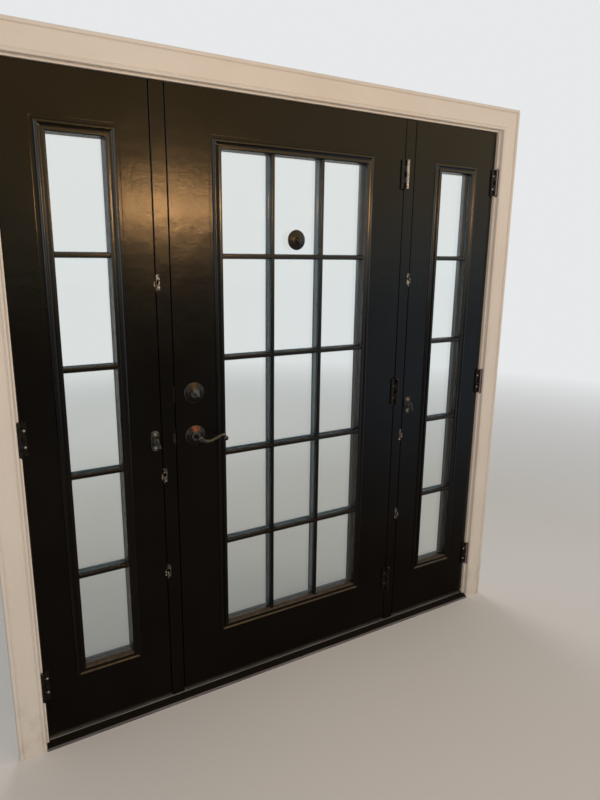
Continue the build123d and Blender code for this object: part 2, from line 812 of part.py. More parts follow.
def leaf_hinge(edge, hinge_side, z):
    """Leaf-side half of a hinge: a thick block on the leaf's face, with two knuckles."""
    x, y = hinge_axis(edge, hinge_side)
    inwards = -hinge_side
    near = edge + inwards * SEAT_CLEARANCE
    far = edge + inwards * HINGE_BLOCK_WIDTH
    front = -HINGE_BLOCK_THICK
    bevel = HINGE_BLOCK_BEVEL
    section = [
        (near, 0),
        (near, front + bevel),
        (near + inwards * bevel, front),
        (far - inwards * bevel, front),
        (far, front + bevel),
        (far, 0),
    ]
    solid = upright(section, z - HINGE_HEIGHT / 2, z + HINGE_HEIGHT / 2)
    neck = [
        (x, y - BARREL_RADIUS + 1),
        (x, y + BARREL_RADIUS - 0.2),
        (x + inwards * 3, y + BARREL_RADIUS - 0.2),
        (near, front + 2),
        (near + inwards * 2.5, front + 2),
        (near + inwards * 4, front),
        (x + inwards * 6, y - 1),
        (x + inwards * 3, y - BARREL_RADIUS + 1.5),
    ]
    spans = knuckle_spans()
    for low, high in spans[1::2]:
        solid += upright(neck, z + low, z + high)
        solid += rod_z(x, y, z + low, z + high, BARREL_RADIUS)
    solid -= rod_z(x, y, z - HINGE_HEIGHT, z + HINGE_HEIGHT, PIN_RADIUS + RUNNING_CLEARANCE)
    screw_x = edge + inwards * HINGE_SCREW_INSET
    for side in (-1, 1):
        screw_z = z + side * HINGE_SCREW_SPACING / 2
        solid -= rod_y(screw_x, front, 0, screw_z, SCREW_SHANK)
    return solid


def hinge_pin(edge, hinge_side, z):
    """The pin, with a turned tip past each end of the barrel."""
    x, y = hinge_axis(edge, hinge_side)
    half = HINGE_HEIGHT / 2
    top = [(r, half + reach) for r, reach in PIN_TIP_STEPS]
    bottom = [(r, -h) for r, h in reversed(top)]
    profile = bottom + [(PIN_RADIUS, -half), (PIN_RADIUS, half)] + top
    outline = [(r, 0, h) for r, h in profile]
    pin = revolve(make_face(Polyline(*outline, close=True)), Axis.Z)
    return Pos(x, y, z) * pin


def countersunk_screw(face, direction, y, z):
    """A flat-head screw along X, its head flush with the given face."""
    head = SCREW_HEAD - SCREW_SHANK
    length = SHORT_SCREW_LENGTH
    profile = [(0, 0), (SCREW_HEAD, 0), (SCREW_SHANK, head), (SCREW_SHANK, length), (0, length)]
    outline = [(h * direction, r, 0) for r, h in profile]
    screw = revolve(make_face(Polyline(*outline, close=True)), Axis.X)
    return Pos(face, y, z) * screw


def pan_screw(x, y, z, length):
    """A pan-head screw along Y, its head on the room side of the given seat."""
    top = SCREW_HEAD_HEIGHT
    profile = [
        (0, -top),
        (0.42 * SCREW_HEAD, -0.96 * top),
        (0.82 * SCREW_HEAD, -0.67 * top),
        (SCREW_HEAD, -0.17 * top),
        (SCREW_HEAD, 0),
        (SCREW_SHANK, 0),
        (SCREW_SHANK, length),
        (0, length),
    ]
    outline = [(r, h, 0) for r, h in profile]
    screw = revolve(make_face(Polyline(*outline, close=True)), Axis.Y)
    slot = Box(RECESS_WIDTH, 2 * RECESS_DEPTH, RECESS_LENGTH)
    slot += Box(RECESS_LENGTH, 2 * RECESS_DEPTH, RECESS_WIDTH)
    return Pos(x, y, z) * (screw - Pos(0, -top, 0) * slot)


def hinge_screws(edge, inwards, holes=False):
    """The two screws of each leaf-side hinge block, or their holes in the slab."""
    x = edge + inwards * HINGE_SCREW_INSET
    solids = []
    for z in HINGE_HEIGHTS:
        for side in (-1, 1):
            screw_z = z + side * HINGE_SCREW_SPACING / 2
            if holes:
                far = SCREW_LENGTH - HINGE_BLOCK_THICK
                solids.append(rod_y(x, 0, far, screw_z, SCREW_SHANK))
            else:
                solids.append(pan_screw(x, -HINGE_BLOCK_THICK, screw_z, SCREW_LENGTH))
    return solids


# Lever set and deadbolt of the middle leaf


def case_and_plate(z):
    """The tube that guides a bolt in the leaf's edge, with its faceplate."""
    face = MIDDLE_LEFT + EDGE_SETBACK
    y0 = BOLT_Y - FACEPLATE_WIDTH / 2
    y1 = BOLT_Y + FACEPLATE_WIDTH / 2
    z0 = z - FACEPLATE_HEIGHT / 2
    z1 = z + FACEPLATE_HEIGHT / 2
    solid = block(face, face + FACEPLATE_THICK, y0, y1, z0, z1)
    tube_end = LOCK_X - CROSS_BORE_RADIUS + CASE_OVERLAP
    solid += rod_x(face, tube_end, BOLT_Y, z, EDGE_BORE_RADIUS)
    bore = EDGE_BORE_RADIUS - CASE_WALL
    solid -= rod_x(face + FACEPLATE_THICK, tube_end, BOLT_Y, z, bore)
    return solid - bolt_window(face, face + FACEPLATE_THICK, z)


def bolt_window(x0, x1, z):
    """The hole that a bolt slides through, a little larger than the bolt."""
    half_y = BOLT_THICK / 2 + BOLT_CLEARANCE
    half_z = BOLT_HEIGHT / 2 + BOLT_CLEARANCE
    return block(x0, x1, BOLT_Y - half_y, BOLT_Y + half_y, z - half_z, z + half_z)


def lock_bores():
    """The cross bores, edge bores and faceplate recesses of the middle leaf."""
    cuts = []
    face = MIDDLE_LEFT
    recess = MIDDLE_LEFT + EDGE_SETBACK + FACEPLATE_THICK
    for z in (LEVER_HEIGHT, DEADBOLT_HEIGHT):
        cuts.append(rod_y(LOCK_X, 0, LEAF_THICK, z, CROSS_BORE_RADIUS))
        cuts.append(rod_x(face, LOCK_X, BOLT_Y, z, EDGE_BORE_RADIUS))
        y0 = BOLT_Y - FACEPLATE_WIDTH / 2
        y1 = BOLT_Y + FACEPLATE_WIDTH / 2
        z0 = z - FACEPLATE_HEIGHT / 2
        cuts.append(block(face, recess, y0, y1, z0, z0 + FACEPLATE_HEIGHT))
    return cuts


def rose(z, outdoors=False, neck=LEVER_NECK_RADIUS):
    """A round stepped rose with a bore for the part that turns in it."""
    bore = neck + RUNNING_CLEARANCE
    steps = [(ROSE_RADIUS - inset, height) for inset, height in ROSE_STEPS]
    profile = [(bore, 0), (ROSE_RADIUS, 0)] + steps + [(bore, ROSE_THICK)]
    face = LEAF_THICK if outdoors else 0
    return turned(profile, LOCK_X, z, face, 1 if outdoors else -1)


def lever(outdoors=False):
    """A lever handle: a turned neck and a waved arm that ends in a rolled tip."""
    way = 1 if outdoors else -1
    face = LEAF_THICK if outdoors else 0
    arm_y = face + way * LEVER_PROJECTION
    low = LEVER_PROJECTION - LEVER_BOSS_HALF
    high = LEVER_PROJECTION + LEVER_BOSS_HALF
    profile = [
        (0, 0),
        (LEVER_NECK_RADIUS, 0),
        (LEVER_NECK_RADIUS, ROSE_THICK + 4),
        (LEVER_WAIST_RADIUS, ROSE_THICK + 8),
        (LEVER_WAIST_RADIUS, low - 3),
        (LEVER_BOSS_RADIUS, low),
        (LEVER_BOSS_RADIUS, high - 1),
        (LEVER_WAIST_RADIUS, high + 2),
        (0, high + 2.8),
    ]
    neck = turned(profile, LOCK_X, LEVER_HEIGHT, face, way)
    spine = Spline(*[(LOCK_X + u, arm_y, LEVER_HEIGHT + v) for u, v in LEVER_SPINE])
    start = Plane(origin=spine @ 0, x_dir=(0, 1, 0), z_dir=spine % 0)
    arm = sweep(start * Ellipse(LEVER_HALF_DEPTH, LEVER_HALF_HEIGHT).face(), spine)
    tip_x = LOCK_X + LEVER_TIP[0]
    tip_z = LEVER_HEIGHT + LEVER_TIP[1]
    reach = LEVER_HALF_DEPTH
    tip = rod_y(tip_x, arm_y - reach, arm_y + reach, tip_z, LEVER_TIP_RADIUS)
    tip = fillet(tip.edges().filter_by(GeomType.CIRCLE), radius=LEVER_TIP_ROUND)
    return neck + arm + tip


def inner_lever():
    """The room-side lever, with a socket for the spindle."""
    handle = lever()
    half = SPINDLE_SIDE / 2 + RUNNING_CLEARANCE
    z = LEVER_HEIGHT
    depth = SPINDLE_REACH + BOLT_CLEARANCE
    return handle - block(LOCK_X - half, LOCK_X + half, -depth, 1, z - half, z + half)


def outer_lever():
    """The outdoor lever, with the square spindle that both levers turn on."""
    half = SPINDLE_SIDE / 2
    z = LEVER_HEIGHT
    left = LOCK_X - half
    right = LOCK_X + half
    spindle = block(left, right, -SPINDLE_REACH, LEAF_THICK + 1, z - half, z + half)
    return lever(outdoors=True) + spindle


def thumbturn():
    """The deadbolt's turn piece: a shaft, a small collar and a rounded paddle."""
    z = DEADBOLT_HEIGHT
    top = THUMBTURN_STAND_OFF
    low = top - THUMBTURN_COLLAR_THICK
    profile = [
        (0, 0),
        (THUMBTURN_SHAFT, 0),
        (THUMBTURN_SHAFT, low),
        (THUMBTURN_COLLAR, low),
        (THUMBTURN_COLLAR, top),
        (0, top),
    ]
    shaft = turned(profile, LOCK_X, z, 0, -1)
    tail = rod_y(LOCK_X, 0, LEAF_THICK / 2 + 4, z, THUMBTURN_TAIL)
    paddle = Box(THUMBTURN_THICK, THUMBTURN_DEPTH, THUMBTURN_LENGTH)
    paddle = fillet(paddle.edges().filter_by(Axis.X), radius=THUMBTURN_ROUND)
    y = -top - THUMBTURN_DEPTH / 2 + 0.1
    return shaft + tail + Pos(LOCK_X, y, z) * Rotation(0, -THUMBTURN_LEAN, 0) * paddle


def deadbolt_cylinder():
    """The outdoor key cylinder: a domed ring round a plug with a plain key slot."""
    r = CYLINDER_RADIUS
    h = CYLINDER_HEIGHT
    groove = h - PLUG_GROOVE
    profile = [
        (0, 0),
        (r, 0),
        (r, 3),
        (r - 3, h - 3),
        (r - 8, h),
        (PLUG_RADIUS + 3, h),
        (PLUG_RADIUS + 2, groove),
        (PLUG_RADIUS, groove),
        (PLUG_RADIUS, h),
        (0, h),
    ]
    z = DEADBOLT_HEIGHT
    body = turned(profile, LOCK_X, z, LEAF_THICK, 1)
    half_x = KEY_SLOT_WIDTH / 2
    half_z = KEY_SLOT_HEIGHT / 2
    y1 = LEAF_THICK + h
    y0 = y1 - KEY_SLOT_DEPTH
    return body - block(LOCK_X - half_x, LOCK_X + half_x, y0, y1 + 1, z - half_z, z + half_z)


def bolt(z, latch=False):
    """A bolt in its stored place, its end flush with the faceplate."""
    x0 = MIDDLE_LEFT + EDGE_SETBACK
    x1 = x0 + BOLT_LENGTH
    half_y = BOLT_THICK / 2
    half_z = BOLT_HEIGHT / 2
    solid = block(x0, x1, BOLT_Y - half_y, BOLT_Y + half_y, z - half_z, z + half_z)
    if latch:
        nose = [
            (x0, BOLT_Y - half_y),
            (x0 + LATCH_THROW - 1, BOLT_Y + half_y),
            (x0, BOLT_Y + half_y),
        ]
        solid -= upright(nose, z - half_z, z + half_z)
    return solid - rod_y(LOCK_X, 0, LEAF_THICK, z, SPINDLE_SIDE + 2)


def strike_pockets():
    """Pockets in the left mullion for the two strikes and for the bolts' throw."""
    face = -MULLION_INNER
    cuts = []
    for z, throw in ((LEVER_HEIGHT, LATCH_THROW), (DEADBOLT_HEIGHT, BOLT_THROW)):
        depth = throw + 2 * STRIKE_CLEARANCE
        half_y = BOLT_THICK / 2 + STRIKE_CLEARANCE
        half_z = BOLT_HEIGHT / 2 + STRIKE_CLEARANCE
        cuts.append(
            block(face - depth, face, BOLT_Y - half_y, BOLT_Y + half_y, z - half_z, z + half_z)
        )
        plate_half = FACEPLATE_HEIGHT / 2
        y1 = BOLT_Y + FACEPLATE_WIDTH / 2
        cuts.append(block(face - STRIKE_THICK, face, 0, y1, z - plate_half, z + plate_half))
        for side in (-1, 1):
            screw_z = z + side * (plate_half - STRIKE_SCREW_INSET)
            cuts.append(rod_x(face - SHORT_SCREW_LENGTH, face, BOLT_Y, screw_z, SCREW_SHANK))
    return cuts


def strike(z, lip):
    """A strike plate on the left mullion, with the lip that leads the latch in."""
    face = -MULLION_INNER
    x1 = face - STRIKE_THICK
    half = FACEPLATE_HEIGHT / 2
    y1 = BOLT_Y + FACEPLATE_WIDTH / 2
    solid = block(face, x1, 0, y1, z - half, z + half)
    if lip:
        lip_half = half * STRIKE_LIP_SHARE
        section = [
            (face, 0.5),
            (face - STRIKE_THICK, -1.2),
            (face - STRIKE_LIP, -STRIKE_THICK),
            (face - STRIKE_LIP, 0),
            (face - STRIKE_THICK, 0),
            (face - STRIKE_THICK, 0.5),
        ]
        solid += upright(section, z - lip_half, z + lip_half)
    half_y = BOLT_THICK / 2 + STRIKE_CLEARANCE
    half_z = BOLT_HEIGHT / 2 + STRIKE_CLEARANCE
    solid -= block(face, x1, BOLT_Y - half_y, BOLT_Y + half_y, z - half_z, z + half_z)
    for side in (-1, 1):
        screw_z = z + side * (half - STRIKE_SCREW_INSET)
        solid -= countersunk_screw(face, -1, BOLT_Y, screw_z)
    return solid


def strike_screws():
    """The two screws of each strike."""
    face = -MULLION_INNER
    half = FACEPLATE_HEIGHT / 2 - STRIKE_SCREW_INSET
    screws = []
    for z in (LEVER_HEIGHT, DEADBOLT_HEIGHT):
        for side in (-1, 1):
            screws.append(countersunk_screw(face, -1, BOLT_Y, z + side * half))
    return screws


# Drive-bar locks of the side leaves


def side_lock_edge(side):
    """X of a side leaf's lock edge, and the way from it to the mullion."""
    if side < 0:
        return LEFT_LEAF_RIGHT, 1
    return RIGHT_LEAF_LEFT, -1


def bar_range():
    """The heights of the drive bar's two ends."""
    return STUD_HEIGHTS[0] - BAR_OVERRUN, STUD_HEIGHTS[-1] + BAR_OVERRUN


def side_lock_cuts(side):
    """The groove for bar and strip, and the hole for the lever's shaft."""
    edge, way = side_lock_edge(side)
    low, high = bar_range()
    depth = BAR_SETBACK + STRIP_THICK + BAR_THICK + GROOVE_BACK
    y0 = STUD_DEPTH - BAR_WIDTH / 2 - GROOVE_SPARE
    y1 = STUD_DEPTH + BAR_WIDTH / 2 + GROOVE_SPARE
    spare = STUD_TRAVEL + GROOVE_END
    groove = block(edge, edge - way * depth, y0, y1, low - spare, high + spare)
    x = edge - way * SIDE_LOCK_INSET
    shaft = rod_y(x, 0, STUD_DEPTH + BAR_WIDTH / 2, LEVER_HEIGHT, LOCK_SHAFT_BORE)
    cuts = [groove, shaft]
    for z in lock_screw_heights():
        cuts.append(rod_y(x, 0, SCREW_LENGTH - LOCK_PLATE_THICK, z, SCREW_SHANK))
    return cuts


def lock_screw_heights():
    """Heights of the two screws of a side leaf's lock plate."""
    return (LEVER_HEIGHT - LOCK_SCREW_SPACING / 2, LEVER_HEIGHT + LOCK_SCREW_SPACING / 2)


def lock_strip(side):
    """The strip that covers the bar on the leaf's edge, with a slot for each stud."""
    edge, way = side_lock_edge(side)
    low, high = bar_range()
    x0 = edge - way * BAR_SETBACK
    x1 = x0 - way * STRIP_THICK
    y0 = STUD_DEPTH - BAR_WIDTH / 2 - GROOVE_SPARE
    y1 = STUD_DEPTH + BAR_WIDTH / 2 + GROOVE_SPARE
    spare = STUD_TRAVEL + GROOVE_END
    solid = block(x0, x1, y0, y1, low - spare, high + spare)
    slot = STUD_RADIUS + STRIP_SLOT_CLEARANCE
    for z in STUD_HEIGHTS:
        solid -= rod_x(x0, x1, STUD_DEPTH, z, slot)
        solid -= rod_x(x0, x1, STUD_DEPTH, z - STUD_TRAVEL, slot)
        solid -= block(x0, x1, STUD_DEPTH - slot, STUD_DEPTH + slot, z - STUD_TRAVEL, z)
    return solid


def lock_bar(side):
    """The drive bar in the leaf's edge, with its three studs."""
    edge, way = side_lock_edge(side)
    low, high = bar_range()
    x0 = edge - way * (BAR_SETBACK + STRIP_THICK + BAR_GAP)
    x1 = x0 - way * BAR_THICK
    y0 = STUD_DEPTH - BAR_WIDTH / 2
    y1 = STUD_DEPTH + BAR_WIDTH / 2
    solid = block(x0, x1, y0, y1, low, high)
    tip = edge + way * STUD_REACH
    for z in STUD_HEIGHTS:
        solid += rod_x(x1, tip, STUD_DEPTH, z, STUD_RADIUS)
    return solid


def keeper_pockets(side):
    """Entry and travel channels for the studs, and the seats of the keeper plates."""
    face = side * MULLION_OUTER
    depth = STUD_REACH - LEAF_GAP + POCKET_SPARE
    x1 = face - side * depth
    r = STUD_RADIUS + STUD_CLEARANCE
    back = STUD_DEPTH + r
    cuts = []
    for z in STUD_HEIGHTS:
        cuts.append(block(face, x1, 0, back, z - r, z + r))
        cuts.append(block(face, x1, STUD_DEPTH - r, back, z - STUD_TRAVEL - r, z + r))
        z0 = keeper_middle(z) - KEEPER_HEIGHT / 2
        z1 = z0 + KEEPER_HEIGHT
        cuts.append(block(face, face - side * KEEPER_THICK, 0, KEEPER_SIDE, z0, z1))
        for end in (z0 + KEEPER_SCREW_INSET, z1 - KEEPER_SCREW_INSET):
            x = face - side * SHORT_SCREW_LENGTH
            cuts.append(rod_x(face, x, STUD_DEPTH, end, SCREW_SHANK))
    return cuts


def keeper_middle(z):
    """A keeper reaches over both ends of its stud's travel."""
    return z - STUD_TRAVEL / 4


def keeper(side, z):
    """An angle plate round the mullion's corner, notched where the stud enters."""
    face = side * MULLION_OUTER
    middle = keeper_middle(z)
    z0 = middle - KEEPER_HEIGHT / 2
    z1 = middle + KEEPER_HEIGHT / 2
    solid = block(face, face - side * KEEPER_THICK, 0, KEEPER_SIDE, z0, z1)
    low = z - KEEPER_FACE_DROP - KEEPER_FACE_HEIGHT / 2
    high = low + KEEPER_FACE_HEIGHT
    solid += block(face, face - side * KEEPER_FACE, -KEEPER_THICK, 0, low, high)
    r = STUD_RADIUS + STUD_CLEARANCE
    x1 = face - side * (STUD_REACH - LEAF_GAP + POCKET_SPARE)
    back = STUD_DEPTH + r
    half_notch = KEEPER_NOTCH / 2
    solid -= block(face, x1, -KEEPER_THICK, 0, z - half_notch, z + half_notch)
    solid -= block(face, x1, 0, back, z - r, z + r)
    solid -= block(face, x1, STUD_DEPTH - r, back, z - STUD_TRAVEL - r, z + r)
    for end in (z0 + KEEPER_SCREW_INSET, z1 - KEEPER_SCREW_INSET):
        solid -= countersunk_screw(face, -side, STUD_DEPTH, end)
    return solid


def keeper_screws():
    """Two screws for each of the six keepers."""
    screws = []
    for side in (-1, 1):
        for z in STUD_HEIGHTS:
            for end in (-1, 1):
                screw_z = keeper_middle(z) + end * (KEEPER_HEIGHT / 2 - KEEPER_SCREW_INSET)
                face = side * MULLION_OUTER
                screws.append(countersunk_screw(face, -side, STUD_DEPTH, screw_z))
    return screws


def lock_plate(side):
    """The rounded plate under the lock lever, with a raised boss round its shaft."""
    edge, way = side_lock_edge(side)
    x = edge - way * SIDE_LOCK_INSET
    z = LEVER_HEIGHT
    straight = LOCK_PLATE_HEIGHT - LOCK_PLATE_WIDTH
    half = LOCK_PLATE_WIDTH / 2
    solid = block(x - half, x + half, -LOCK_PLATE_THICK, 0, z - straight / 2, z + straight / 2)
    for end in (-1, 1):
        solid += rod_y(x, -LOCK_PLATE_THICK, 0, z + end * straight / 2, half)
    rim = solid.faces().sort_by(Axis.Y)[0].edges()
    solid = chamfer(rim, length=LOCK_PLATE_CHAMFER)
    boss_face = -LOCK_PLATE_THICK - LOCK_BOSS_HEIGHT
    solid += rod_y(x, boss_face, 0, z, LOCK_BOSS_RADIUS)
    solid -= rod_y(x, boss_face, 0, z, LOCK_SHAFT_RADIUS + RUNNING_CLEARANCE)
    for screw_z in lock_screw_heights():
        solid -= rod_y(x, -LOCK_PLATE_THICK, 0, screw_z, SCREW_SHANK)
    return solid


def lock_lever(side):
    """The small lever: a shaft, a round hub and a leaning paddle in front of it."""
    edge, way = side_lock_edge(side)
    x = edge - way * SIDE_LOCK_INSET
    z = LEVER_HEIGHT
    low = LOCK_PLATE_THICK + LOCK_BOSS_HEIGHT + SEAT_CLEARANCE
    high = low + LOCK_HUB_HEIGHT
    shaft_end = -STUD_DEPTH - 5
    profile = [
        (0, shaft_end),
        (LOCK_SHAFT_RADIUS, shaft_end),
        (LOCK_SHAFT_RADIUS, low),
        (LOCK_HUB_RADIUS, low),
        (LOCK_HUB_RADIUS, high - 3.5),
        (LOCK_HUB_RADIUS - 2, high - 0.5),
        (0, high),
    ]
    hub = turned(profile, x, z, 0, -1)
    paddle = Box(PADDLE_WIDTH, PADDLE_DEPTH, PADDLE_LENGTH)
    paddle = fillet(paddle.edges().filter_by(Axis.Y), radius=PADDLE_ROUND)
    y = 1 - high - PADDLE_DEPTH / 2
    place = Pos(x + PADDLE_ASIDE, y, z - PADDLE_DROP) * Rotation(0, -PADDLE_LEAN, 0)
    return hub + place * paddle


def lock_plate_screws(side):
    """The two screws that hold a lock plate on its leaf."""
    edge, way = side_lock_edge(side)
    x = edge - way * SIDE_LOCK_INSET
    return [pan_screw(x, -LOCK_PLATE_THICK, z, SCREW_LENGTH) for z in lock_screw_heights()]


def glass_hook():
    """A round suction hook on the pane: a domed cup, a knob and a small turned-up hook."""
    z = hook_height()
    r = HOOK_CUP_RADIUS
    h = HOOK_CUP_HEIGHT
    knob = h + HOOK_KNOB_HEIGHT
    profile = [
        (0, 0),
        (r, 0),
        (r, 1.2),
        (r * 0.8, h * 0.45),
        (r * 0.5, h * 0.8),
        (HOOK_KNOB_RADIUS, h),
        (HOOK_KNOB_RADIUS, knob - 1.5),
        (HOOK_KNOB_RADIUS - 2, knob),
        (0, knob),
    ]
    cup = turned(profile, 0, z, GLASS_FRONT, -1)
    half = HOOK_WIDTH / 2
    y0 = GLASS_FRONT - knob
    y1 = y0 - HOOK_REACH
    low = z - HOOK_DROP
    stem = block(-half, half, y0, y0 - HOOK_THICK, low, z + 5)
    toe = block(-half, half, y0 - HOOK_THICK, y1, low, low + HOOK_THICK)
    toe += block(-half, half, y1 + HOOK_THICK, y1, low, low + 11)
    return cup + stem + toe


def hook_height():
    """The hook sits low in the top row of lites, in the middle column."""
    day_height = LITE_FRAME_HEIGHT - 2 * LITE_LIP
    pitch = (day_height + MUNTIN_WIDTH) / LITE_ROWS
    bar = LITE_MIDDLE + (day_height + MUNTIN_WIDTH) / 2 - pitch
    return bar + MUNTIN_WIDTH / 2 + HOOK_CUP_RADIUS + HOOK_ABOVE_BAR


def leaf_parts(name, left, right, hinge_side, frame_width, columns):
    """Writes the pieces that every leaf has, apart from its slab."""
    middle = (left + right) / 2
    edge = right if hinge_side > 0 else left
    export(f"{name}_inner_lite_frame", lite_frame(middle, frame_width, columns))
    export(f"{name}_outer_lite_frame", lite_frame(middle, frame_width, columns, True))
    export(f"{name}_glass", glass_unit(middle, frame_width))
    export(f"{name}_glass_spacer", spacer(middle, frame_width))
    export(f"{name}_sweep", sweep_strip(left, right))
    export(f"{name}_leaf_hinges", [leaf_hinge(edge, hinge_side, z) for z in HINGE_HEIGHTS])


def main():
    os.makedirs("parts", exist_ok=True)

    export("left_jamb", jamb(-1))
    export("right_jamb", jamb(1))
    export("head_jamb", head_jamb())
    export("left_mullion", mullion(-1))
    export("right_mullion", mullion(1))
    export("sill", sill())
    export("threshold_cap", threshold_cap())
    export("left_casing", casing_side(-1))
    export("right_casing", casing_side(1))
    export("head_casing", casing_head())
    export("weatherstrip", weatherstrip())

    hinge_edges = ((LEFT_LEAF_LEFT, -1), (MIDDLE_RIGHT, 1), (RIGHT_LEAF_RIGHT, 1))
    plates = []
    pins = []
    screws = []
    for edge, hinge_side in hinge_edges:
        for z in HINGE_HEIGHTS:
            plates.append(frame_hinge(edge, hinge_side, z))
            pins.append(hinge_pin(edge, hinge_side, z))
            face = edge + hinge_side * LEAF_GAP
            for screw_z in plate_screw_heights(z):
                screws.append(
                    countersunk_screw(face, hinge_side, HINGE_PLATE_DEPTH / 2, screw_z)
                )
    export("frame_hinges", plates)
    export("hinge_pins", pins)
    export("frame_screws", screws + strike_screws() + keeper_screws())
    export("strikes", [strike(LEVER_HEIGHT, True), strike(DEADBOLT_HEIGHT, False)])
    export("keepers", [keeper(side, z) for side in (-1, 1) for z in STUD_HEIGHTS])

    middle = leaf(MIDDLE_LEFT, MIDDLE_RIGHT, 1, MIDDLE_FRAME_WIDTH)
    export("middle_leaf", middle - lock_bores())
    leaf_parts("middle", MIDDLE_LEFT, MIDDLE_RIGHT, 1, MIDDLE_FRAME_WIDTH, MIDDLE_COLUMNS)
    export("middle_leaf_screws", hinge_screws(MIDDLE_RIGHT, -1))
    export("inner_rose", rose(LEVER_HEIGHT))
    export("outer_rose", rose(LEVER_HEIGHT, outdoors=True))
    export("inner_lever", inner_lever())
    export("outer_lever", outer_lever())
    export("latch_case", case_and_plate(LEVER_HEIGHT))
    export("latch_bolt", bolt(LEVER_HEIGHT, latch=True))
    export("deadbolt_rose", rose(DEADBOLT_HEIGHT, neck=THUMBTURN_SHAFT))
    export("deadbolt_cylinder", deadbolt_cylinder())
    export("deadbolt_case", case_and_plate(DEADBOLT_HEIGHT))
    export("deadbolt_bolt", bolt(DEADBOLT_HEIGHT))
    export("thumbturn", thumbturn())
    export("glass_hook", glass_hook())

    sides = (
        ("left", -1, LEFT_LEAF_LEFT, LEFT_LEAF_RIGHT),
        ("right", 1, RIGHT_LEAF_LEFT, RIGHT_LEAF_RIGHT),
    )
    for name, side, left, right in sides:
        hinge_edge = left if side < 0 else right
        slab = leaf(left, right, side, SIDE_FRAME_WIDTH)
        export(f"{name}_leaf", slab - side_lock_cuts(side))
        leaf_parts(name, left, right, side, SIDE_FRAME_WIDTH, 1)
        screws = hinge_screws(hinge_edge, -side) + lock_plate_screws(side)
        export(f"{name}_leaf_screws", screws)
        export(f"{name}_lock_strip", lock_strip(side))
        export(f"{name}_lock_bar", lock_bar(side))
        export(f"{name}_lock_plate", lock_plate(side))
        export(f"{name}_lock_lever", lock_lever(side))


main()
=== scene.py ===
# %% [markdown]
# # A black french door unit
# Three glazed leaves stand in one white-cased frame. The measured model comes in as a fixed
# frame of named parts. This script gives each part its finish, and it remakes the mouldings,
# the handles and the hook as fine meshes that sit exactly where the measured parts are.

import math

import bmesh
import bpy
import numpy as np
from mathutils import Matrix, Vector


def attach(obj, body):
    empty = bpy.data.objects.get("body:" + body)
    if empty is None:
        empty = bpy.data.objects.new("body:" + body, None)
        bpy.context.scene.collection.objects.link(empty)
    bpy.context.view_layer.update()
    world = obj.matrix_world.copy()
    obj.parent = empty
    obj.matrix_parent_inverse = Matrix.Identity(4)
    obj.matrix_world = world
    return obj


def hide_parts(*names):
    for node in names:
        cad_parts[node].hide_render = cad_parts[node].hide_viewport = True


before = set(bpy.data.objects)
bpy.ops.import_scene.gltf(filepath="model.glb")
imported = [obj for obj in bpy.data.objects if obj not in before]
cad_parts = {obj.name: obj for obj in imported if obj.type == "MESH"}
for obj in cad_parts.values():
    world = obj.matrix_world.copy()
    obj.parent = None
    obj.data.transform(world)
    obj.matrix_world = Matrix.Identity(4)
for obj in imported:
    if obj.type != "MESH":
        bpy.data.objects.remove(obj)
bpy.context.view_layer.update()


# %% [markdown]
# ## The eye
# The photograph was taken from indoors, in front of the unit's left edge and at the height of
# standing eyes. A camera can be aimed with a constraint, but a place, a heading, a pitch and a
# roll say the same thing in four plain values, and they were fitted to the leaves' edges.

# %% Camera
EYE = Vector((-1.1140, -1.8896, 1.5882))
HEADING = 0.5394
PITCH = 0.2333
ROLL = 0.0130
LENS_MM = 27.77
SENSOR_MM = 36.0
SIGHT_END = 60.0

flat = math.cos(PITCH)
ahead = Vector((math.sin(HEADING) * flat, math.cos(HEADING) * flat, -math.sin(PITCH)))
level = Vector((math.cos(HEADING), -math.sin(HEADING), 0.0))
above = level.cross(ahead)
right = level * math.cos(ROLL) + above * math.sin(ROLL)
up = above * math.cos(ROLL) - level * math.sin(ROLL)
turn = Matrix((right, up, -ahead)).transposed().to_4x4()

camera_data = bpy.data.cameras.new("camera")
camera_data.lens = LENS_MM
camera_data.sensor_width = SENSOR_MM
camera_data.clip_end = SIGHT_END
camera = bpy.data.objects.new("camera", camera_data)
camera.matrix_world = Matrix.Translation(EYE) @ turn
bpy.context.scene.collection.objects.link(camera)
bpy.context.scene.camera = camera
print("camera looks along", [round(v, 3) for v in ahead])


# %% [markdown]
# ## Small steps for node trees
# A material, a world and a floor are all trees of nodes. Most helpers below add one step to
# such a tree and give back the socket that holds its result, so that a finish further on
# reads like a short sum. The last one starts a material.

# %% Steps that values go through
def feed(tree, socket, value):
    """Puts a number or a colour on a socket, or links another socket to it."""
    if isinstance(value, bpy.types.NodeSocket):
        tree.links.new(value, socket)
    elif isinstance(value, tuple) and len(value) == 3 and socket.type == "RGBA":
        socket.default_value = value + (1.0,)
    else:
        socket.default_value = value


def add_node(tree, kind, *values, **settings):
    """A new shader node with its settings made and its first inputs fed in order."""
    node = tree.nodes.new("ShaderNode" + kind)
    for name, setting in settings.items():
        setattr(node, name, setting)
    for socket, value in zip(node.inputs, values):
        feed(tree, socket, value)
    return node


def calc(tree, operation, value, *others):
    """One sum over values from left to right, each of them a socket or a number.

    An operation on a single value, such as a square root, ignores its second input.
    """
    for other in others or (0.0,):
        value = add_node(tree, "Math", value, other, operation=operation).outputs[0]
    return value


def times(tree, *values):
    """The product of two or more values."""
    return calc(tree, "MULTIPLY", *values)


def apart(tree, value, middle):
    """How far a value is from a middle, on either side."""
    return calc(tree, "ABSOLUTE", calc(tree, "SUBTRACT", value, middle))


def spread(tree, value, low, high, from_low=0.3, from_high=0.7):
    """Carries a value from one range to another, and holds it at the ends."""
    numbers = (value, from_low, from_high, low, high)
    return add_node(tree, "MapRange", *numbers).outputs["Result"]


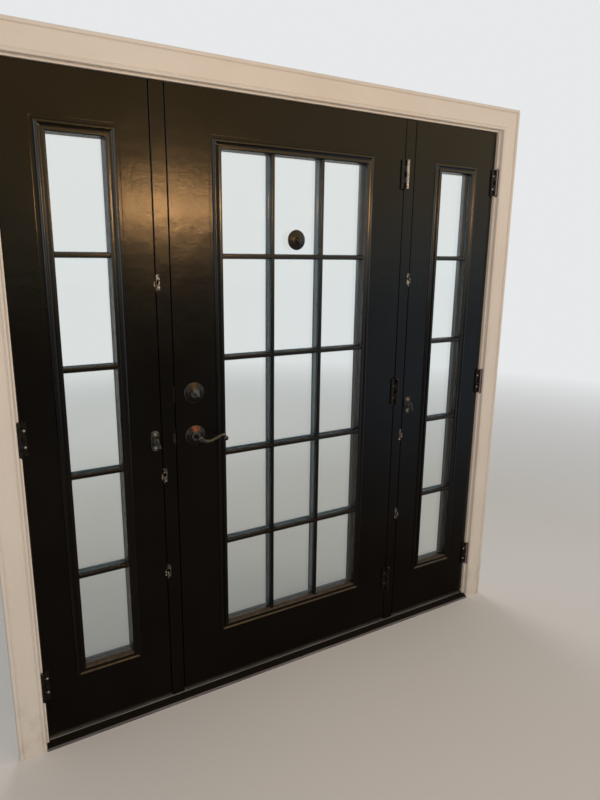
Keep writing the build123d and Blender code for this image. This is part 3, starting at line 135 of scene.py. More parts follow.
def blend(tree, amount, first, second):
    """A colour between two others, by an amount from 0 to 1."""
    node = add_node(tree, "Mix", data_type="RGBA")
    feed(tree, node.inputs["Factor"], amount)
    feed(tree, node.inputs["A"], first)
    feed(tree, node.inputs["B"], second)
    return node.outputs["Result"]


def split(tree, vector):
    """The three numbers of a place or a direction."""
    return tuple(add_node(tree, "SeparateXYZ", vector).outputs)


def noise(tree, coordinates, scale, detail=3.0, stretch=(1, 1, 1)):
    """Noise in metres: stretch below 1 along an axis draws the pattern out along it."""
    mapping = add_node(tree, "Mapping", coordinates)
    feed(tree, mapping.inputs["Scale"], stretch)
    node = add_node(tree, "TexNoise", mapping.outputs["Vector"])
    feed(tree, node.inputs["Scale"], scale)
    feed(tree, node.inputs["Detail"], detail)
    return node.outputs["Fac"]


def mix_shaders(tree, amount, first, second):
    """Two shaders mixed by an amount from 0 to 1."""
    return add_node(tree, "MixShader", amount, first, second).outputs[0]


def ray_kinds(tree):
    """Whether the eye looks here, straight or through a pane, and whether a gloss does."""
    path = add_node(tree, "LightPath").outputs
    eye = calc(tree, "MAXIMUM", path["Is Camera Ray"], path["Is Transmission Ray"])
    outside_eye = calc(tree, "SUBTRACT", 1.0, eye)
    gloss = times(tree, path["Is Glossy Ray"], outside_eye)
    return eye, gloss


def start_finish(name, metallic=0.0, specular=0.5):
    """A new material: its tree, its shader and its object coordinates."""
    material = bpy.data.materials.new(name)
    material.use_nodes = True
    tree = material.node_tree
    shader = tree.nodes["Principled BSDF"]
    shader.inputs["Metallic"].default_value = metallic
    shader.inputs["Specular IOR Level"].default_value = specular
    place = add_node(tree, "TexCoord").outputs["Object"]
    return material, tree, shader, place


print("steps ready")


# %% [markdown]
# ## The studio
# The unit stands on a plain pale floor under soft lamps. The world is pale where the eye
# looks at it, straight or through a pane, and weaker where it only lights the object. A gloss
# sees other tones, because black paint has little colour of its own and shows mostly what is
# in front of it: indoors a dark band below, a middle one at eye height, a warm one above them
# and cool ends far to either side, and outdoors a pale blue.

# %% World
BACKDROP = (0.80, 0.81, 0.82)
WORLD_LIGHT = 0.31
LIGHT_TONE = (1.0, 0.965, 0.92)
LOW_BAND = (0.040, 0.042, 0.040)
BAND_LEFT = (0.27, 0.29, 0.22)
BAND_RIGHT = (0.50, 0.60, 0.64)
BAND_STARTS = (-0.22, -0.07)
BAND_TURNS = (0.35, 0.75)
BAND_DROP = 0.17
UPPER_LEFT = (0.60, 0.39, 0.15)
UPPER_RIGHT = (0.84, 0.62, 0.34)
UPPER_STARTS = (-0.02, 0.16)
COOL_END = (0.75, 0.88, 1.0)
COOL_LEFT = (-0.85, -0.65)
COOL_RIGHT = (0.86, 0.95)
SKY_PALE = (0.58, 0.78, 0.95)
SKY_STARTS = (-0.05, 0.15)

bpy.context.scene.view_settings.view_transform = "Standard"

world = bpy.data.worlds.new("studio")
bpy.context.scene.world = world
world.use_nodes = True
tree = world.node_tree
tree.nodes.clear()
eye, gloss = ray_kinds(tree)
seen = calc(tree, "MAXIMUM", eye, gloss)
x, y, z = split(tree, add_node(tree, "TexCoord").outputs["Generated"])
rightwards = spread(tree, x, 0, 1, *BAND_TURNS)
band = blend(tree, rightwards, BAND_LEFT, BAND_RIGHT)
upper = blend(tree, rightwards, UPPER_LEFT, UPPER_RIGHT)
rise = calc(tree, "ADD", z, times(tree, rightwards, BAND_DROP))
room = blend(tree, spread(tree, rise, 0, 1, *BAND_STARTS), LOW_BAND, band)
room = blend(tree, spread(tree, z, 0, 1, *UPPER_STARTS), room, upper)
far_left = spread(tree, x, 1, 0, *COOL_LEFT)
far_right = spread(tree, x, 0, 1, *COOL_RIGHT)
room = blend(tree, calc(tree, "MAXIMUM", far_left, far_right), room, COOL_END)
around = blend(tree, spread(tree, y, 0, 1, *SKY_STARTS), room, SKY_PALE)
shown = add_node(tree, "Background", blend(tree, gloss, BACKDROP, around))
lit = add_node(tree, "Background", LIGHT_TONE, WORLD_LIGHT)
both = mix_shaders(tree, seen, lit.outputs[0], shown.outputs[0])
add_node(tree, "OutputWorld", both)
print("world nodes:", len(tree.nodes))


# %% [markdown]
# The floor has to keep the unit's shadow close by and melt into the backdrop further out, so
# its own colour gives way to a plain glow of the backdrop's colour with distance. A gloss
# sees it dark and warm, and cool far off to the right.

# %% Floor
FLOOR_COLOR = (0.74, 0.73, 0.71)
FLOOR_IN_GLOSS = (0.10, 0.07, 0.05)
COOL_IN_GLOSS = (0.17, 0.24, 0.32)
FLOOR_ROUGHNESS = 0.9
FLOOR_SHINE = 0.1
FLOOR_SIZE = 60.0
FLOOR_GAP = 0.0005
FADE = (2.2, 7.0)
COOL_FADE = (1.2, 5.0)
COOL_HEADING = (0.42, 0.64)


def plain_floor(size):
    """One square of floor, its middle under the unit, just below the casing's feet."""
    half = size / 2
    corners = [(-half, -half), (half, -half), (half, half), (-half, half)]
    mesh = bpy.data.meshes.new("floor")
    mesh.from_pydata([(x, y, -FLOOR_GAP) for x, y in corners], [], [(0, 1, 2, 3)])
    floor = bpy.data.objects.new("floor", mesh)
    bpy.context.scene.collection.objects.link(floor)
    material, tree, shader, place = start_finish("floor_pale", specular=FLOOR_SHINE)
    shader.inputs["Roughness"].default_value = FLOOR_ROUGHNESS
    eye, gloss = ray_kinds(tree)
    feed(tree, shader.inputs["Base Color"], blend(tree, gloss, FLOOR_COLOR, FLOOR_IN_GLOSS))
    distance = add_node(tree, "VectorMath", place, operation="LENGTH").outputs["Value"]
    heading = add_node(tree, "VectorMath", place, operation="NORMALIZE").outputs[0]
    rightwards = spread(tree, split(tree, heading)[0], 0, 1, *COOL_HEADING)
    distant = spread(tree, distance, 0, 1, *COOL_FADE)
    cool = times(tree, gloss, times(tree, rightwards, distant))
    feed(tree, shader.inputs["Emission Color"], COOL_IN_GLOSS)
    feed(tree, shader.inputs["Emission Strength"], cool)
    glow = add_node(tree, "Emission", BACKDROP)
    far = times(tree, spread(tree, distance, 0, 1, *FADE), eye)
    both = mix_shaders(tree, far, shader.outputs[0], glow.outputs[0])
    feed(tree, tree.nodes["Material Output"].inputs["Surface"], both)
    mesh.materials.append(material)


plain_floor(FLOOR_SIZE)
print("floor fades over distances in metres of", FADE)


# %% [markdown]
# Three wide lamps only fill, so gloss and panes don't show them as white patches. The small
# warm lamp stands where the paint of the left post and of both leaves beside it mirrors it as
# a glow. It is a wide, low oval, so the glow reaches across the post onto both leaves.

# %% Lamps
def soft_lamp(name, place, target, width, height, watts, color, mirrored=False):
    """An oval lamp at a place, aimed at a target; a mirrored one shows in gloss too."""
    data = bpy.data.lights.new(name, "AREA")
    data.shape = "ELLIPSE"
    data.size = width
    data.size_y = height
    data.energy = watts
    data.color = color
    lamp = bpy.data.objects.new(name, data)
    aim = Vector(target) - Vector(place)
    lamp.rotation_euler = aim.to_track_quat("-Z", "Y").to_euler()
    lamp.location = place
    lamp.visible_camera = False
    lamp.visible_transmission = False
    lamp.visible_glossy = mirrored
    bpy.context.scene.collection.objects.link(lamp)


soft_lamp("room_light", (-1.9, -3.4, 2.5), (0.0, 0.0, 1.1), 1.0, 1.0, 46, (1.0, 0.96, 0.92))
soft_lamp("side_light", (3.2, -1.6, 2.2), (0.3, 0.0, 1.2), 1.2, 1.2, 22, (1.0, 0.93, 0.84))
soft_lamp("outdoor_light", (0.8, 3.8, 3.0), (0.0, 0.0, 1.0), 2.6, 2.6, 55, (0.95, 0.98, 1.0))
GLOW_FROM = (0.30, -2.23, 1.88)
GLOW_TO = (-0.45, 0.0, 1.72)
GLOW_TONE = (1.0, 0.545, 0.22)
soft_lamp("warm_light", GLOW_FROM, GLOW_TO, 0.74, 0.14, 10.0, GLOW_TONE, mirrored=True)


# %% [markdown]
# ## Turning arrays into pieces
# Every new piece is a surface over a grid of two parameters: a whole array of places in
# millimetres, and the grid's cells as faces. A closed way round welds to itself, and points
# that fall together, such as a pole or a seam, are merged once the mesh exists.

# %% From grids to pieces
MM = 0.001
WELD = 2e-6
NO_LENGTH = 1e-6
SHARP = math.radians(32.0)


def cells(rows, columns, closed_rows=False, closed_columns=False):
    """The corner numbers of every cell of a grid; a closed way wraps round to its start."""
    index = np.arange(rows * columns).reshape(rows, columns)
    if closed_rows:
        index = np.concatenate([index, index[:1]], axis=0)
    if closed_columns:
        index = np.concatenate([index, index[:, :1]], axis=1)
    corners = (index[:-1, :-1], index[1:, :-1], index[1:, 1:], index[:-1, 1:])
    return np.stack(corners, axis=-1).reshape(-1, 4)


def together(*shapes):
    """Several shapes as one: each one's corner numbers move past those before it."""
    counts = [len(points) for points, faces in shapes]
    starts = np.cumsum([0] + counts[:-1])
    points = np.concatenate([points for points, faces in shapes])
    faces = np.concatenate([shape[1] + start for shape, start in zip(shapes, starts)])
    return points, faces


def put_piece(name, shape, material, body, instead_of):
    """Welds a shape in millimetres, turns its faces outwards and puts it on its body.

    Edges that bend by more than the angle SHARP stay crisp, and the others are smooth.
    """
    points, faces = shape
    mesh = bpy.data.meshes.new(name)
    mesh.from_pydata((points * MM).tolist(), [], faces.tolist())
    work = bmesh.new()
    work.from_mesh(mesh)
    bmesh.ops.remove_doubles(work, verts=work.verts, dist=WELD)
    bmesh.ops.dissolve_degenerate(work, edges=work.edges, dist=NO_LENGTH)
    bmesh.ops.recalc_face_normals(work, faces=work.faces)
    work.to_mesh(mesh)
    work.free()
    mesh.shade_smooth()
    mesh.set_sharp_from_angle(angle=SHARP)
    mesh.materials.append(material)
    piece = bpy.data.objects.new(name, mesh)
    bpy.context.scene.collection.objects.link(piece)
    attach(piece, body)
    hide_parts(*instead_of)
    print(f"{name}: {len(mesh.polygons)} faces")


print("cells of a ring of 4 by 6 points:", len(cells(4, 6, False, True)))


# %% [markdown]
# Wood and moulding never have knife edges: sanding and paint round them off. A profile is
# therefore drawn with its corners, and one function rounds every corner with a short
# parabola.

# %% Rounded profiles
def rounded(profile, reach, steps=5):
    """A profile with each inner corner B rounded between A before it and C after it.

    A and C lie at most reach from B, and at most half way to the next corner. The curve is
    (1 - t)(1 - t) A + 2 t (1 - t) B + t t C, for t from 0 to 1.
    """
    p = np.asarray(profile, float)
    corner = p[1:-1]
    ends = []
    for other in (p[:-2], p[2:]):
        way = other - corner
        length = np.linalg.norm(way, axis=1, keepdims=True)
        ends.append((corner + way / length * np.minimum(reach, length / 2))[:, None])
    t = np.linspace(0.0, 1.0, steps)[None, :, None]
    curve = (1 - t) ** 2 * ends[0] + 2 * t * (1 - t) * corner[:, None] + t**2 * ends[1]
    return np.concatenate([p[:1], curve.reshape(-1, 2), p[-1:]])


print("a square corner becomes", rounded([(0, 0), (10, 0), (10, 10)], 2.0, 3).tolist())


# %% [markdown]
# ## Casing
# The casing is a flat board with a half-round bead along the opening and a thicker rounded
# band along its outer edge, each beside a groove that draws a thin shadow. A bevelled curve
# could make it, but a profile carried between two mitred ends is shorter: the further a line
# of the profile lies from the opening, the longer it is.

# %% Casing shapes
JAMB_FACE = -8.0
CASING_EDGE = 938.5
CASING_HEAD = 2077.5
CASING_ROUNDING = 1.4
CASING_PROFILE = (
    (0, 0), (0, 14.0), (0.8, 16.4), (3.4, 18.3), (6.4, 18.3), (9.0, 16.4), (9.8, 13.0),
    (11.8, 12.6), (13.5, 14.6), (40, 14.4), (66, 15.2), (68.5, 13.4), (70.2, 13.8),
    (71.4, 17.4), (74, 19.4), (79, 19.4), (82.0, 18.0), (83, 14.5), (83, 0),
)


def shell(front, back):
    """A closed shell between two grids of one size: both sheets and the wall round them."""
    rows, columns = front.shape[:2]
    count = rows * columns
    index = np.arange(count).reshape(rows, columns)
    rim = np.concatenate([index[0, :-1], index[:-1, -1], index[-1, :0:-1], index[:0:-1, 0]])
    after = np.roll(rim, -1)
    walls = np.stack([rim, after, after + count, rim + count], axis=1)
    sheet = cells(rows, columns)
    points = np.concatenate([front.reshape(-1, 3), back.reshape(-1, 3)])
    return points, np.concatenate([sheet, sheet[:, ::-1] + count, walls])


def casing_board(side):
    """A casing board between two ends: side is -1 or 1 for an upright and 0 for the head.

    A line of the profile at distance u from the opening and thickness t runs at
    y = face - t. Upright, it stands at x = side (edge + u) from the floor to head + u. At
    the head it lies at z = head + u, from -(edge + u) to edge + u.
    """
    u, t = rounded(CASING_PROFILE, CASING_ROUNDING).T
    sheets = []
    for thick in (t, np.zeros_like(t)):
        y = np.stack([JAMB_FACE - thick] * 2, axis=1)
        if side:
            x = np.stack([side * (CASING_EDGE + u)] * 2, axis=1)
            z = np.stack([np.zeros_like(u), CASING_HEAD + u], axis=1)
        else:
            x = np.stack([-CASING_EDGE - u, CASING_EDGE + u], axis=1)
            z = np.stack([CASING_HEAD + u] * 2, axis=1)
        sheets.append(np.stack([x, y, z], axis=-1))
    return shell(*sheets)


print("points in the head casing's board:", len(casing_board(0)[0]))


# %% [markdown]
# ## Lite frames
# Each lite frame is one moulding round the glass with thin bars across it. Modelled bar by
# bar, every crossing would have to be cut. As a height over a grid, it needs no cutting: the
# frame and the bars each say how far they stand out, and the higher one wins, which mitres
# all corners and crossings. The bars are set out at the measured pitch, but the photograph
# shows them slimmer than measured, so here their feet end nine millimetres from the middle.

# %% Lite frame shapes
LEAF_SPANS = {"left": (-927.0, -508.0), "middle": (-457.0, 457.0), "right": (508.0, 927.0)}
LEAF_THICK = 44.5
STILES = {"left": 99.5, "middle": 143.5, "right": 99.5}
COLUMNS = {"left": 1, "middle": 3, "right": 1}
LITE_ROWS = 5
LITE_LOW = 217.0
LITE_HIGH = 1932.0
LITE_LIP = 33.0
LITE_TONGUE = 12.0
LITE_ROUNDING = 0.9
BAR_WIDTH = 22.0
GLASS_Y = 9.3
FRAME_PROFILE = (
    (0, GLASS_Y), (2.2, -5.8), (4.4, -8.0), (12, -8.0), (13.6, -7.0), (14.0, -3.5),
    (15.0, -3.5), (18.75, -4.5), (21.4, -6.2), (22.5, -7.6), (24.5, -8.0), (27, -7.5),
    (30.5, -5.0), (32.2, -1.8), (33, 0),
)
BAR_FOOT = 9.0
BAR_PROFILE = ((0, -2.5), (4.6, -2.5), (5.6, -2.0), (6.6, -0.1), (8.6, 5.4), (BAR_FOOT, GLASS_Y))


def bar_places(half_span, count):
    """Middles of the bars that part a span into equal lites, from the span's middle."""
    pitch = (2 * half_span + BAR_WIDTH) / count
    return (np.arange(1, count) - count / 2) * pitch


def grid_lines(middle, half_span, frame_steps, bars, bar_steps):
    """Places of all grid lines along one axis: the frame's steps and those of each bar."""
    frame_lines = middle + np.concatenate([-half_span - frame_steps, half_span + frame_steps])
    bar_lines = (bars[:, None] + np.concatenate([-bar_steps, bar_steps])).ravel()
    return np.unique(np.concatenate([frame_lines, bar_lines]).round(4))


def nearest(lines, bars):
    """Distance from each line to the nearest bar's middle."""
    return np.abs(lines[:, None] - bars).min(axis=1, initial=1e6)


def frame_box(leaf):
    """The middle and half size of a leaf's lite frame, along X and then along Z."""
    left, right = LEAF_SPANS[leaf]
    along_x = ((left + right) / 2, (right - left) / 2 - STILES[leaf])
    return along_x, ((LITE_LOW + LITE_HIGH) / 2, (LITE_HIGH - LITE_LOW) / 2)


def lite_frame(leaf, outdoors):
    """A moulded frame with its bars, as a height y over a grid of x and z.

    d is the distance outside the daylight opening and u that to the nearest bar's middle.
    The surface is the one that stands out further of frame(d) and bar(u), and the cells
    over the glass, where d < 0 and u is past a bar's foot, are left out. Each cell's corners
    start so that its diagonal leans along the nearest mitre.
    """
    (x_mid, half_x), (z_mid, half_z) = frame_box(leaf)
    half_x -= LITE_LIP
    half_z -= LITE_LIP
    frame_d, frame_y = rounded(FRAME_PROFILE, LITE_ROUNDING).T
    bar_u, bar_y = rounded(BAR_PROFILE, LITE_ROUNDING).T
    x_bars = x_mid + bar_places(half_x, COLUMNS[leaf])
    z_bars = z_mid + bar_places(half_z, LITE_ROWS)
    x = grid_lines(x_mid, half_x, frame_d, x_bars, bar_u)
    z = grid_lines(z_mid, half_z, frame_d, z_bars, bar_u)
    xx, zz = np.meshgrid(x, z, indexing="ij")

    def distances(x, z):
        """d and u at every crossing of two lists of lines."""
        d = np.maximum(np.abs(x - x_mid)[:, None] - half_x, np.abs(z - z_mid) - half_z)
        return d, np.minimum(nearest(x, x_bars)[:, None], nearest(z, z_bars))

    d, u = distances(x, z)
    ring = np.interp(d, frame_d, frame_y)
    bars = np.where(d < LITE_TONGUE, np.interp(u, bar_u, bar_y), GLASS_Y)
    front = np.minimum(ring, bars)
    back = np.where(d < LITE_TONGUE, GLASS_Y, 0.0)
    xc = (x[1:] + x[:-1]) / 2
    zc = (z[1:] + z[:-1]) / 2
    dc, uc = distances(xc, zc)
    solid = (dc > 0) | (uc < BAR_FOOT)
    cross_x = x_mid if not len(x_bars) else x_bars[np.abs(xc[:, None] - x_bars).argmin(axis=1)]
    cross_z = z_bars[np.abs(zc[:, None] - z_bars).argmin(axis=1)]
    lean = np.outer(np.sign(xc - cross_x), np.sign(zc - cross_z))
    lean = np.where(dc > 0, np.outer(np.sign(xc - x_mid), np.sign(zc - z_mid)), lean)
    quads = cells(len(x), len(z))
    quads = np.where(lean.ravel()[:, None] < 0, np.roll(quads, -1, axis=1), quads)
    quads = quads[solid.ravel()]
    sheets = [np.stack([xx, y, zz], axis=-1).reshape(-1, 3) for y in (front, back)]
    points = np.concatenate(sheets)
    if outdoors:
        points[:, 1] = LEAF_THICK - points[:, 1]
    return points, np.concatenate([quads, quads[:, ::-1] + len(sheets[0])])


print("cells in a middle lite frame:", len(lite_frame("middle", False)[1]))


# %% [markdown]
# ## Turned and swept metal
# Roses, necks and the hook's suction cup are turned, so each is a profile carried round a
# line through the leaf. The lever's arm is an oval carried along a waved line. The flat
# paddles are boxes with rounded edges: a small sphere whose eight parts are pulled apart.

# %% Turned, swept and rounded shapes
def turned(profile, x, z, face, outwards, steps=72, bored=False):
    """A (radius, height) profile turned about a line along Y; a bored one has no poles.

    The point at angle a is (x + r cos a, face + outwards h, z + r sin a).
    """
    r, h = np.asarray(profile, float).T
    a = np.linspace(0, 2 * np.pi, steps, endpoint=False)
    places = (x + r[:, None] * np.cos(a), face + outwards * h[:, None], z + r[:, None] * np.sin(a))
    points = np.stack(np.broadcast_arrays(*places), axis=-1).reshape(-1, 3)
    return points, cells(len(r), steps, bored, True)


def smooth_path(knots, steps):
    """A smooth path through knots: each stretch is a cubic whose slope at a knot is half
    the way from the knot before it to the knot after it."""
    k = np.asarray(knots, float)
    slope = np.gradient(k, axis=0)
    t = np.linspace(0, 1, steps, endpoint=False)[None, :, None]
    p0, p1, m0, m1 = k[:-1, None], k[1:, None], slope[:-1, None], slope[1:, None]
    path = (
        (2 * t**3 - 3 * t**2 + 1) * p0
        + (t**3 - 2 * t**2 + t) * m0
        + (3 * t**2 - 2 * t**3) * p1
        + (t**3 - t**2) * m1
    )
    return np.concatenate([path.reshape(-1, k.shape[1]), k[-1:]])


def swept_oval(path, half_high, half_deep, y, steps=28):
    """A bar with an oval section along a path of (x, z), in a plane at y.

    With t the way along the path, n = (-t_z, t_x) lies across it. The point at angle a is
    path + half_high cos(a) n, at y + half_deep sin(a).
    """
    way = np.gradient(path, axis=0)
    way /= np.linalg.norm(way, axis=1, keepdims=True)
    across = np.stack([-way[:, 1], way[:, 0]], axis=1)
    a = np.linspace(0, 2 * np.pi, steps, endpoint=False)
    x = path[:, :1] + across[:, :1] * half_high[:, None] * np.cos(a)
    z = path[:, 1:] + across[:, 1:] * half_high[:, None] * np.cos(a)
    depth = y + half_deep[:, None] * np.sin(a)
    points = np.stack([x, depth, z], axis=-1).reshape(-1, 3)
    return points, cells(len(path), steps, False, True)


def soft_box(middle, half, radius, lean=0.0, steps=10):
    """A box with rounded edges, leaned about Y by an angle.

    A direction n on a sphere gives the point sign(n) (half - radius) + radius n, so the
    sphere's eight parts become the box's corners, and the gaps between them its faces.
    """
    half = np.asarray(half, float)
    v = (np.arange(2 * steps) + 0.5) / (2 * steps) * np.pi - np.pi / 2
    v = np.concatenate([[-np.pi / 2], v, [np.pi / 2]])[:, None]
    a = (np.arange(4 * steps) + 0.5) / (4 * steps) * 2 * np.pi
    parts = (np.cos(v) * np.cos(a), np.cos(v) * np.sin(a), np.sin(v))
    n = np.stack(np.broadcast_arrays(*parts), axis=-1)
    p = np.sign(n) * (half - radius) + radius * n
    pole = np.zeros((1, 4 * steps, 3))
    pole[..., 2] = half[2]
    p = np.concatenate([-pole, p, pole])
    c, s = math.cos(lean), math.sin(lean)
    x = middle[0] + c * p[..., 0] + s * p[..., 2]
    z = middle[2] - s * p[..., 0] + c * p[..., 2]
    points = np.stack([x, middle[1] + p[..., 1], z], axis=-1).reshape(-1, 3)
    return points, cells(len(p), 4 * steps, False, True)


print("points in a rounded box:", len(soft_box((0, 0, 0), (2, 2, 2), 1.0)[0]))


# %% [markdown]
# The lever set stands on stepped round roses. Its arm dips, rises and ends in a rolled tip.
# A loft through drawn sections could make it, but a smooth path through eight knots says the
# same.

# %% Lever set shapes
LOCK_X = -392.0
LEVER_Z = 988.0
DEADBOLT_Z = 1135.0
SPINDLE_BORE = 8.05
TURN_BORE = 5.05
ROSE_PROFILE = (
    (SPINDLE_BORE, 0), (35, 0), (35, 2.5), (33.5, 4), (30, 4.8), (28.5, 6.5), (24, 7.5),
    (22.5, 9.2), (18, 10.2), (16, 11), (SPINDLE_BORE, 11),
)
NECK_PROFILE = (
    (0, 0.5), (8, 0.5), (8, 15), (7, 19), (7, 42), (9.5, 45), (9.5, 54), (7, 57), (0, 57.8),
)
ARM_KNOTS = ((0, 0), (10, -7), (23, -11), (39, -9.5), (55, -4), (69, 2), (81, 4.5), (91, 0))
ARM_HEIGHTS = (6.4, 6.6, 6.4, 6.0, 5.6, 5.2, 4.6, 3.2)
ARM_HALF_DEEP = 6.3
ARM_OUT = 50.0
TIP_PROFILE = ((0, -6.5), (5.5, -6.2), (8, -4.5), (9, 0), (8, 4.5), (5.5, 6.2), (0, 6.5))
TIP_ALONG = 90.0
TIP_BELOW = 9.0
TURN_PROFILE = ((0, 0.5), (5, 0.5), (5, 13), (8, 13), (8, 15), (0, 15.3))
TURN_PADDLE_OUT = 20.9
TURN_PADDLE_HALF = (4.0, 6.0, 16.5)


def leaf_face(outdoors):
    """Where a face of a leaf lies along Y, and which way is out of it."""
    return (LEAF_THICK, 1) if outdoors else (0.0, -1)


def rose(z, outdoors=False, bore=SPINDLE_BORE):
    """A stepped round rose with rounded rings and a hole of a given radius."""
    face, way = leaf_face(outdoors)
    profile = rounded(ROSE_PROFILE, 1.0, 4)
    profile[[0, -1], 0] = bore
    return turned(profile, LOCK_X, z, face, way, 96, bored=True)


def lever(outdoors=False):
    """The neck, the waved arm and the rolled tip of a lever.

    With s from -1 to 1 along the arm, both half sizes of its oval are multiplied by the
    square root of 1 - |s| to the power 24, which closes its ends with small round caps.
    """
    face, way = leaf_face(outdoors)
    y = face + way * ARM_OUT
    neck = turned(rounded(NECK_PROFILE, 1.2, 4), LOCK_X, LEVER_Z, face, way)
    path = smooth_path(np.column_stack([ARM_KNOTS, ARM_HEIGHTS]), 8)
    s = np.linspace(-1, 1, len(path))
    cap = np.sqrt(np.clip(1 - np.abs(s) ** 24, 0.0, 1.0))
    middle_line = path[:, :2] + (LOCK_X, LEVER_Z)
    arm = swept_oval(middle_line, path[:, 2] * cap, ARM_HALF_DEEP * cap, y)
    tip_profile = rounded(TIP_PROFILE, 1.5, 4)
    tip = turned(tip_profile, LOCK_X + TIP_ALONG, LEVER_Z - TIP_BELOW, y, 1, 40)
    return together(neck, arm, tip)


def thumbturn():
    """The deadbolt's turn piece, its paddle leaned half of a quarter turn."""
    shaft = turned(rounded(TURN_PROFILE, 0.6, 3), LOCK_X, DEADBOLT_Z, 0.0, -1, 40)
    middle = (LOCK_X, -TURN_PADDLE_OUT, DEADBOLT_Z)
    paddle = soft_box(middle, TURN_PADDLE_HALF, 3.6, -math.pi / 4)
    return together(shaft, paddle)


print("points in a lever:", len(lever()[0]), "and in a thumbturn:", len(thumbturn()[0]))


# %% [markdown]
# The side leaves' locks are small: a rounded plate with a raised boss, and a hub with a
# leaning paddle in front of it. The plate's outline is a capsule, so its surface is a
# bevelled profile carried round a half circle, a straight side, and back again.

# %% Side lock shapes
SIDE_LOCK_X = {"left": -530.0, "right": 530.0}
PLATE_PROFILE = ((0, 0), (14, 0), (14, 2.4), (12.4, 4.0), (0, 4.0))
PLATE_HALF_STRAIGHT = 21.0
BOSS_PROFILE = ((0, 3.5), (9.5, 3.5), (9.5, 9), (0, 9))
SCREWS_ROUND = (-23.0, 23.0)
RING_PROFILE = ((5.4, 3.8), (6.2, 5.6), (8.0, 6.0), (9.4, 5.2), (10.0, 3.8))
HUB_PROFILE = ((0, 9.3), (8.5, 9.3), (8.5, 16.3), (6.5, 19.3), (0, 19.8))
SIDE_PADDLE_OUT = 23.3
SIDE_PADDLE_SHIFT = 4.0
SIDE_PADDLE_HALF = (4.0, 4.5, 18.5)
SIDE_PADDLE_LEAN = math.radians(18)


def lock_plate(side):
    """A capsule-shaped plate with a round boss and a raised ring round each screw.

    The capsule is a turned plate whose upper half is lifted and lower half lowered by the same
    distance.
    """
    x = SIDE_LOCK_X[side]
    points, faces = turned(rounded(PLATE_PROFILE, 0.8, 4), x, LEVER_Z, 0.0, -1, 64)
    points[:, 2] += np.where(points[:, 2] > LEVER_Z - 1e-6, 1.0, -1.0) * PLATE_HALF_STRAIGHT
    boss = turned(rounded(BOSS_PROFILE, 0.8, 4), x, LEVER_Z, 0.0, -1, 48)
    profile = rounded(RING_PROFILE + RING_PROFILE[:1], 0.5, 4)
    rings = [turned(profile, x, LEVER_Z + z, 0.0, -1, 40, bored=True) for z in SCREWS_ROUND]
    return together((points, faces), boss, *rings)


def lock_lever(side):
    """A hub and the leaning paddle in front of it."""
    x = SIDE_LOCK_X[side]
    hub = turned(rounded(HUB_PROFILE, 1.2, 4), x, LEVER_Z, 0.0, -1, 48)
    middle = (x + SIDE_PADDLE_SHIFT, -SIDE_PADDLE_OUT, LEVER_Z - SIDE_PADDLE_SHIFT)
    paddle = soft_box(middle, SIDE_PADDLE_HALF, 3.4, -SIDE_PADDLE_LEAN)
    return together(hub, paddle)


print("points in a side lock's plate:", len(lock_plate("left")[0]))


# %% [markdown]
# A suction hook holds on the pane in the upper middle lite: a soft domed cup, a knob and a
# small turned-up hook. The first two are one turned profile, and three small boxes with
# rounded edges make the hook.

# %% Suction hook shape
HOOK_Z = 1632.8
HOOK_PANE_Y = 9.55
HOOK_HALF_WIDE = 3.5
KNOB_TOP = 16.5
CUP_PROFILE = (
    (0, 0), (34, 0), (34, 1.2), (27.2, 4.0), (17, 7.2), (9, 9), (9, 15), (7, KNOB_TOP),
    (0, KNOB_TOP),
)


def suction_hook():
    """The cup and knob, with a stem and a toe that turns up."""
    cup = turned(rounded(CUP_PROFILE, 1.6, 5), 0.0, HOOK_Z, HOOK_PANE_Y, -1, 96)
    y = HOOK_PANE_Y - KNOB_TOP
    stem = soft_box((0, y - 1.5, HOOK_Z - 6), (HOOK_HALF_WIDE, 1.5, 11), 1.4)
    toe = soft_box((0, y - 7.5, HOOK_Z - 15.4), (HOOK_HALF_WIDE, 5.0, 1.6), 1.5)
    nib = soft_box((0, y - 11, HOOK_Z - 11.5), (HOOK_HALF_WIDE, 1.5, 5.5), 1.4)
    return together(cup, stem, toe, nib)


print("points in the suction hook:", len(suction_hook()[0]))


# %% [markdown]
# ## Finishes
# Every finish starts from the same few parts: a base colour that wanders a little, a
# roughness that wanders with it, and a fine bump. Object coordinates are in metres, so a
# noise scale of 500 has features about two millimetres wide.

# %% Helpers that build a finish
def give_surface(tree, shader, color, rough, height, depth):
    """Joins a colour, a roughness and a bump to the shader; a height of 1 is depth metres."""
    feed(tree, shader.inputs["Base Color"], color)
    feed(tree, shader.inputs["Roughness"], rough)
    bump = add_node(tree, "Bump")
    bump.inputs["Strength"].default_value = 1.0
    bump.inputs["Distance"].default_value = depth
    feed(tree, bump.inputs["Height"], height)
    feed(tree, shader.inputs["Normal"], bump.outputs["Normal"])


def facing(tree):
    """The direction that a face looks in, as three numbers."""
    return split(tree, add_node(tree, "NewGeometry").outputs["Normal"])


def within(tree, value, middle, half, soft):
    """1 where a value lies within half of a middle, falling to 0 over a soft edge."""
    return spread(tree, apart(tree, value, middle), 1, 0, half, half + soft)


print("finish helpers ready")
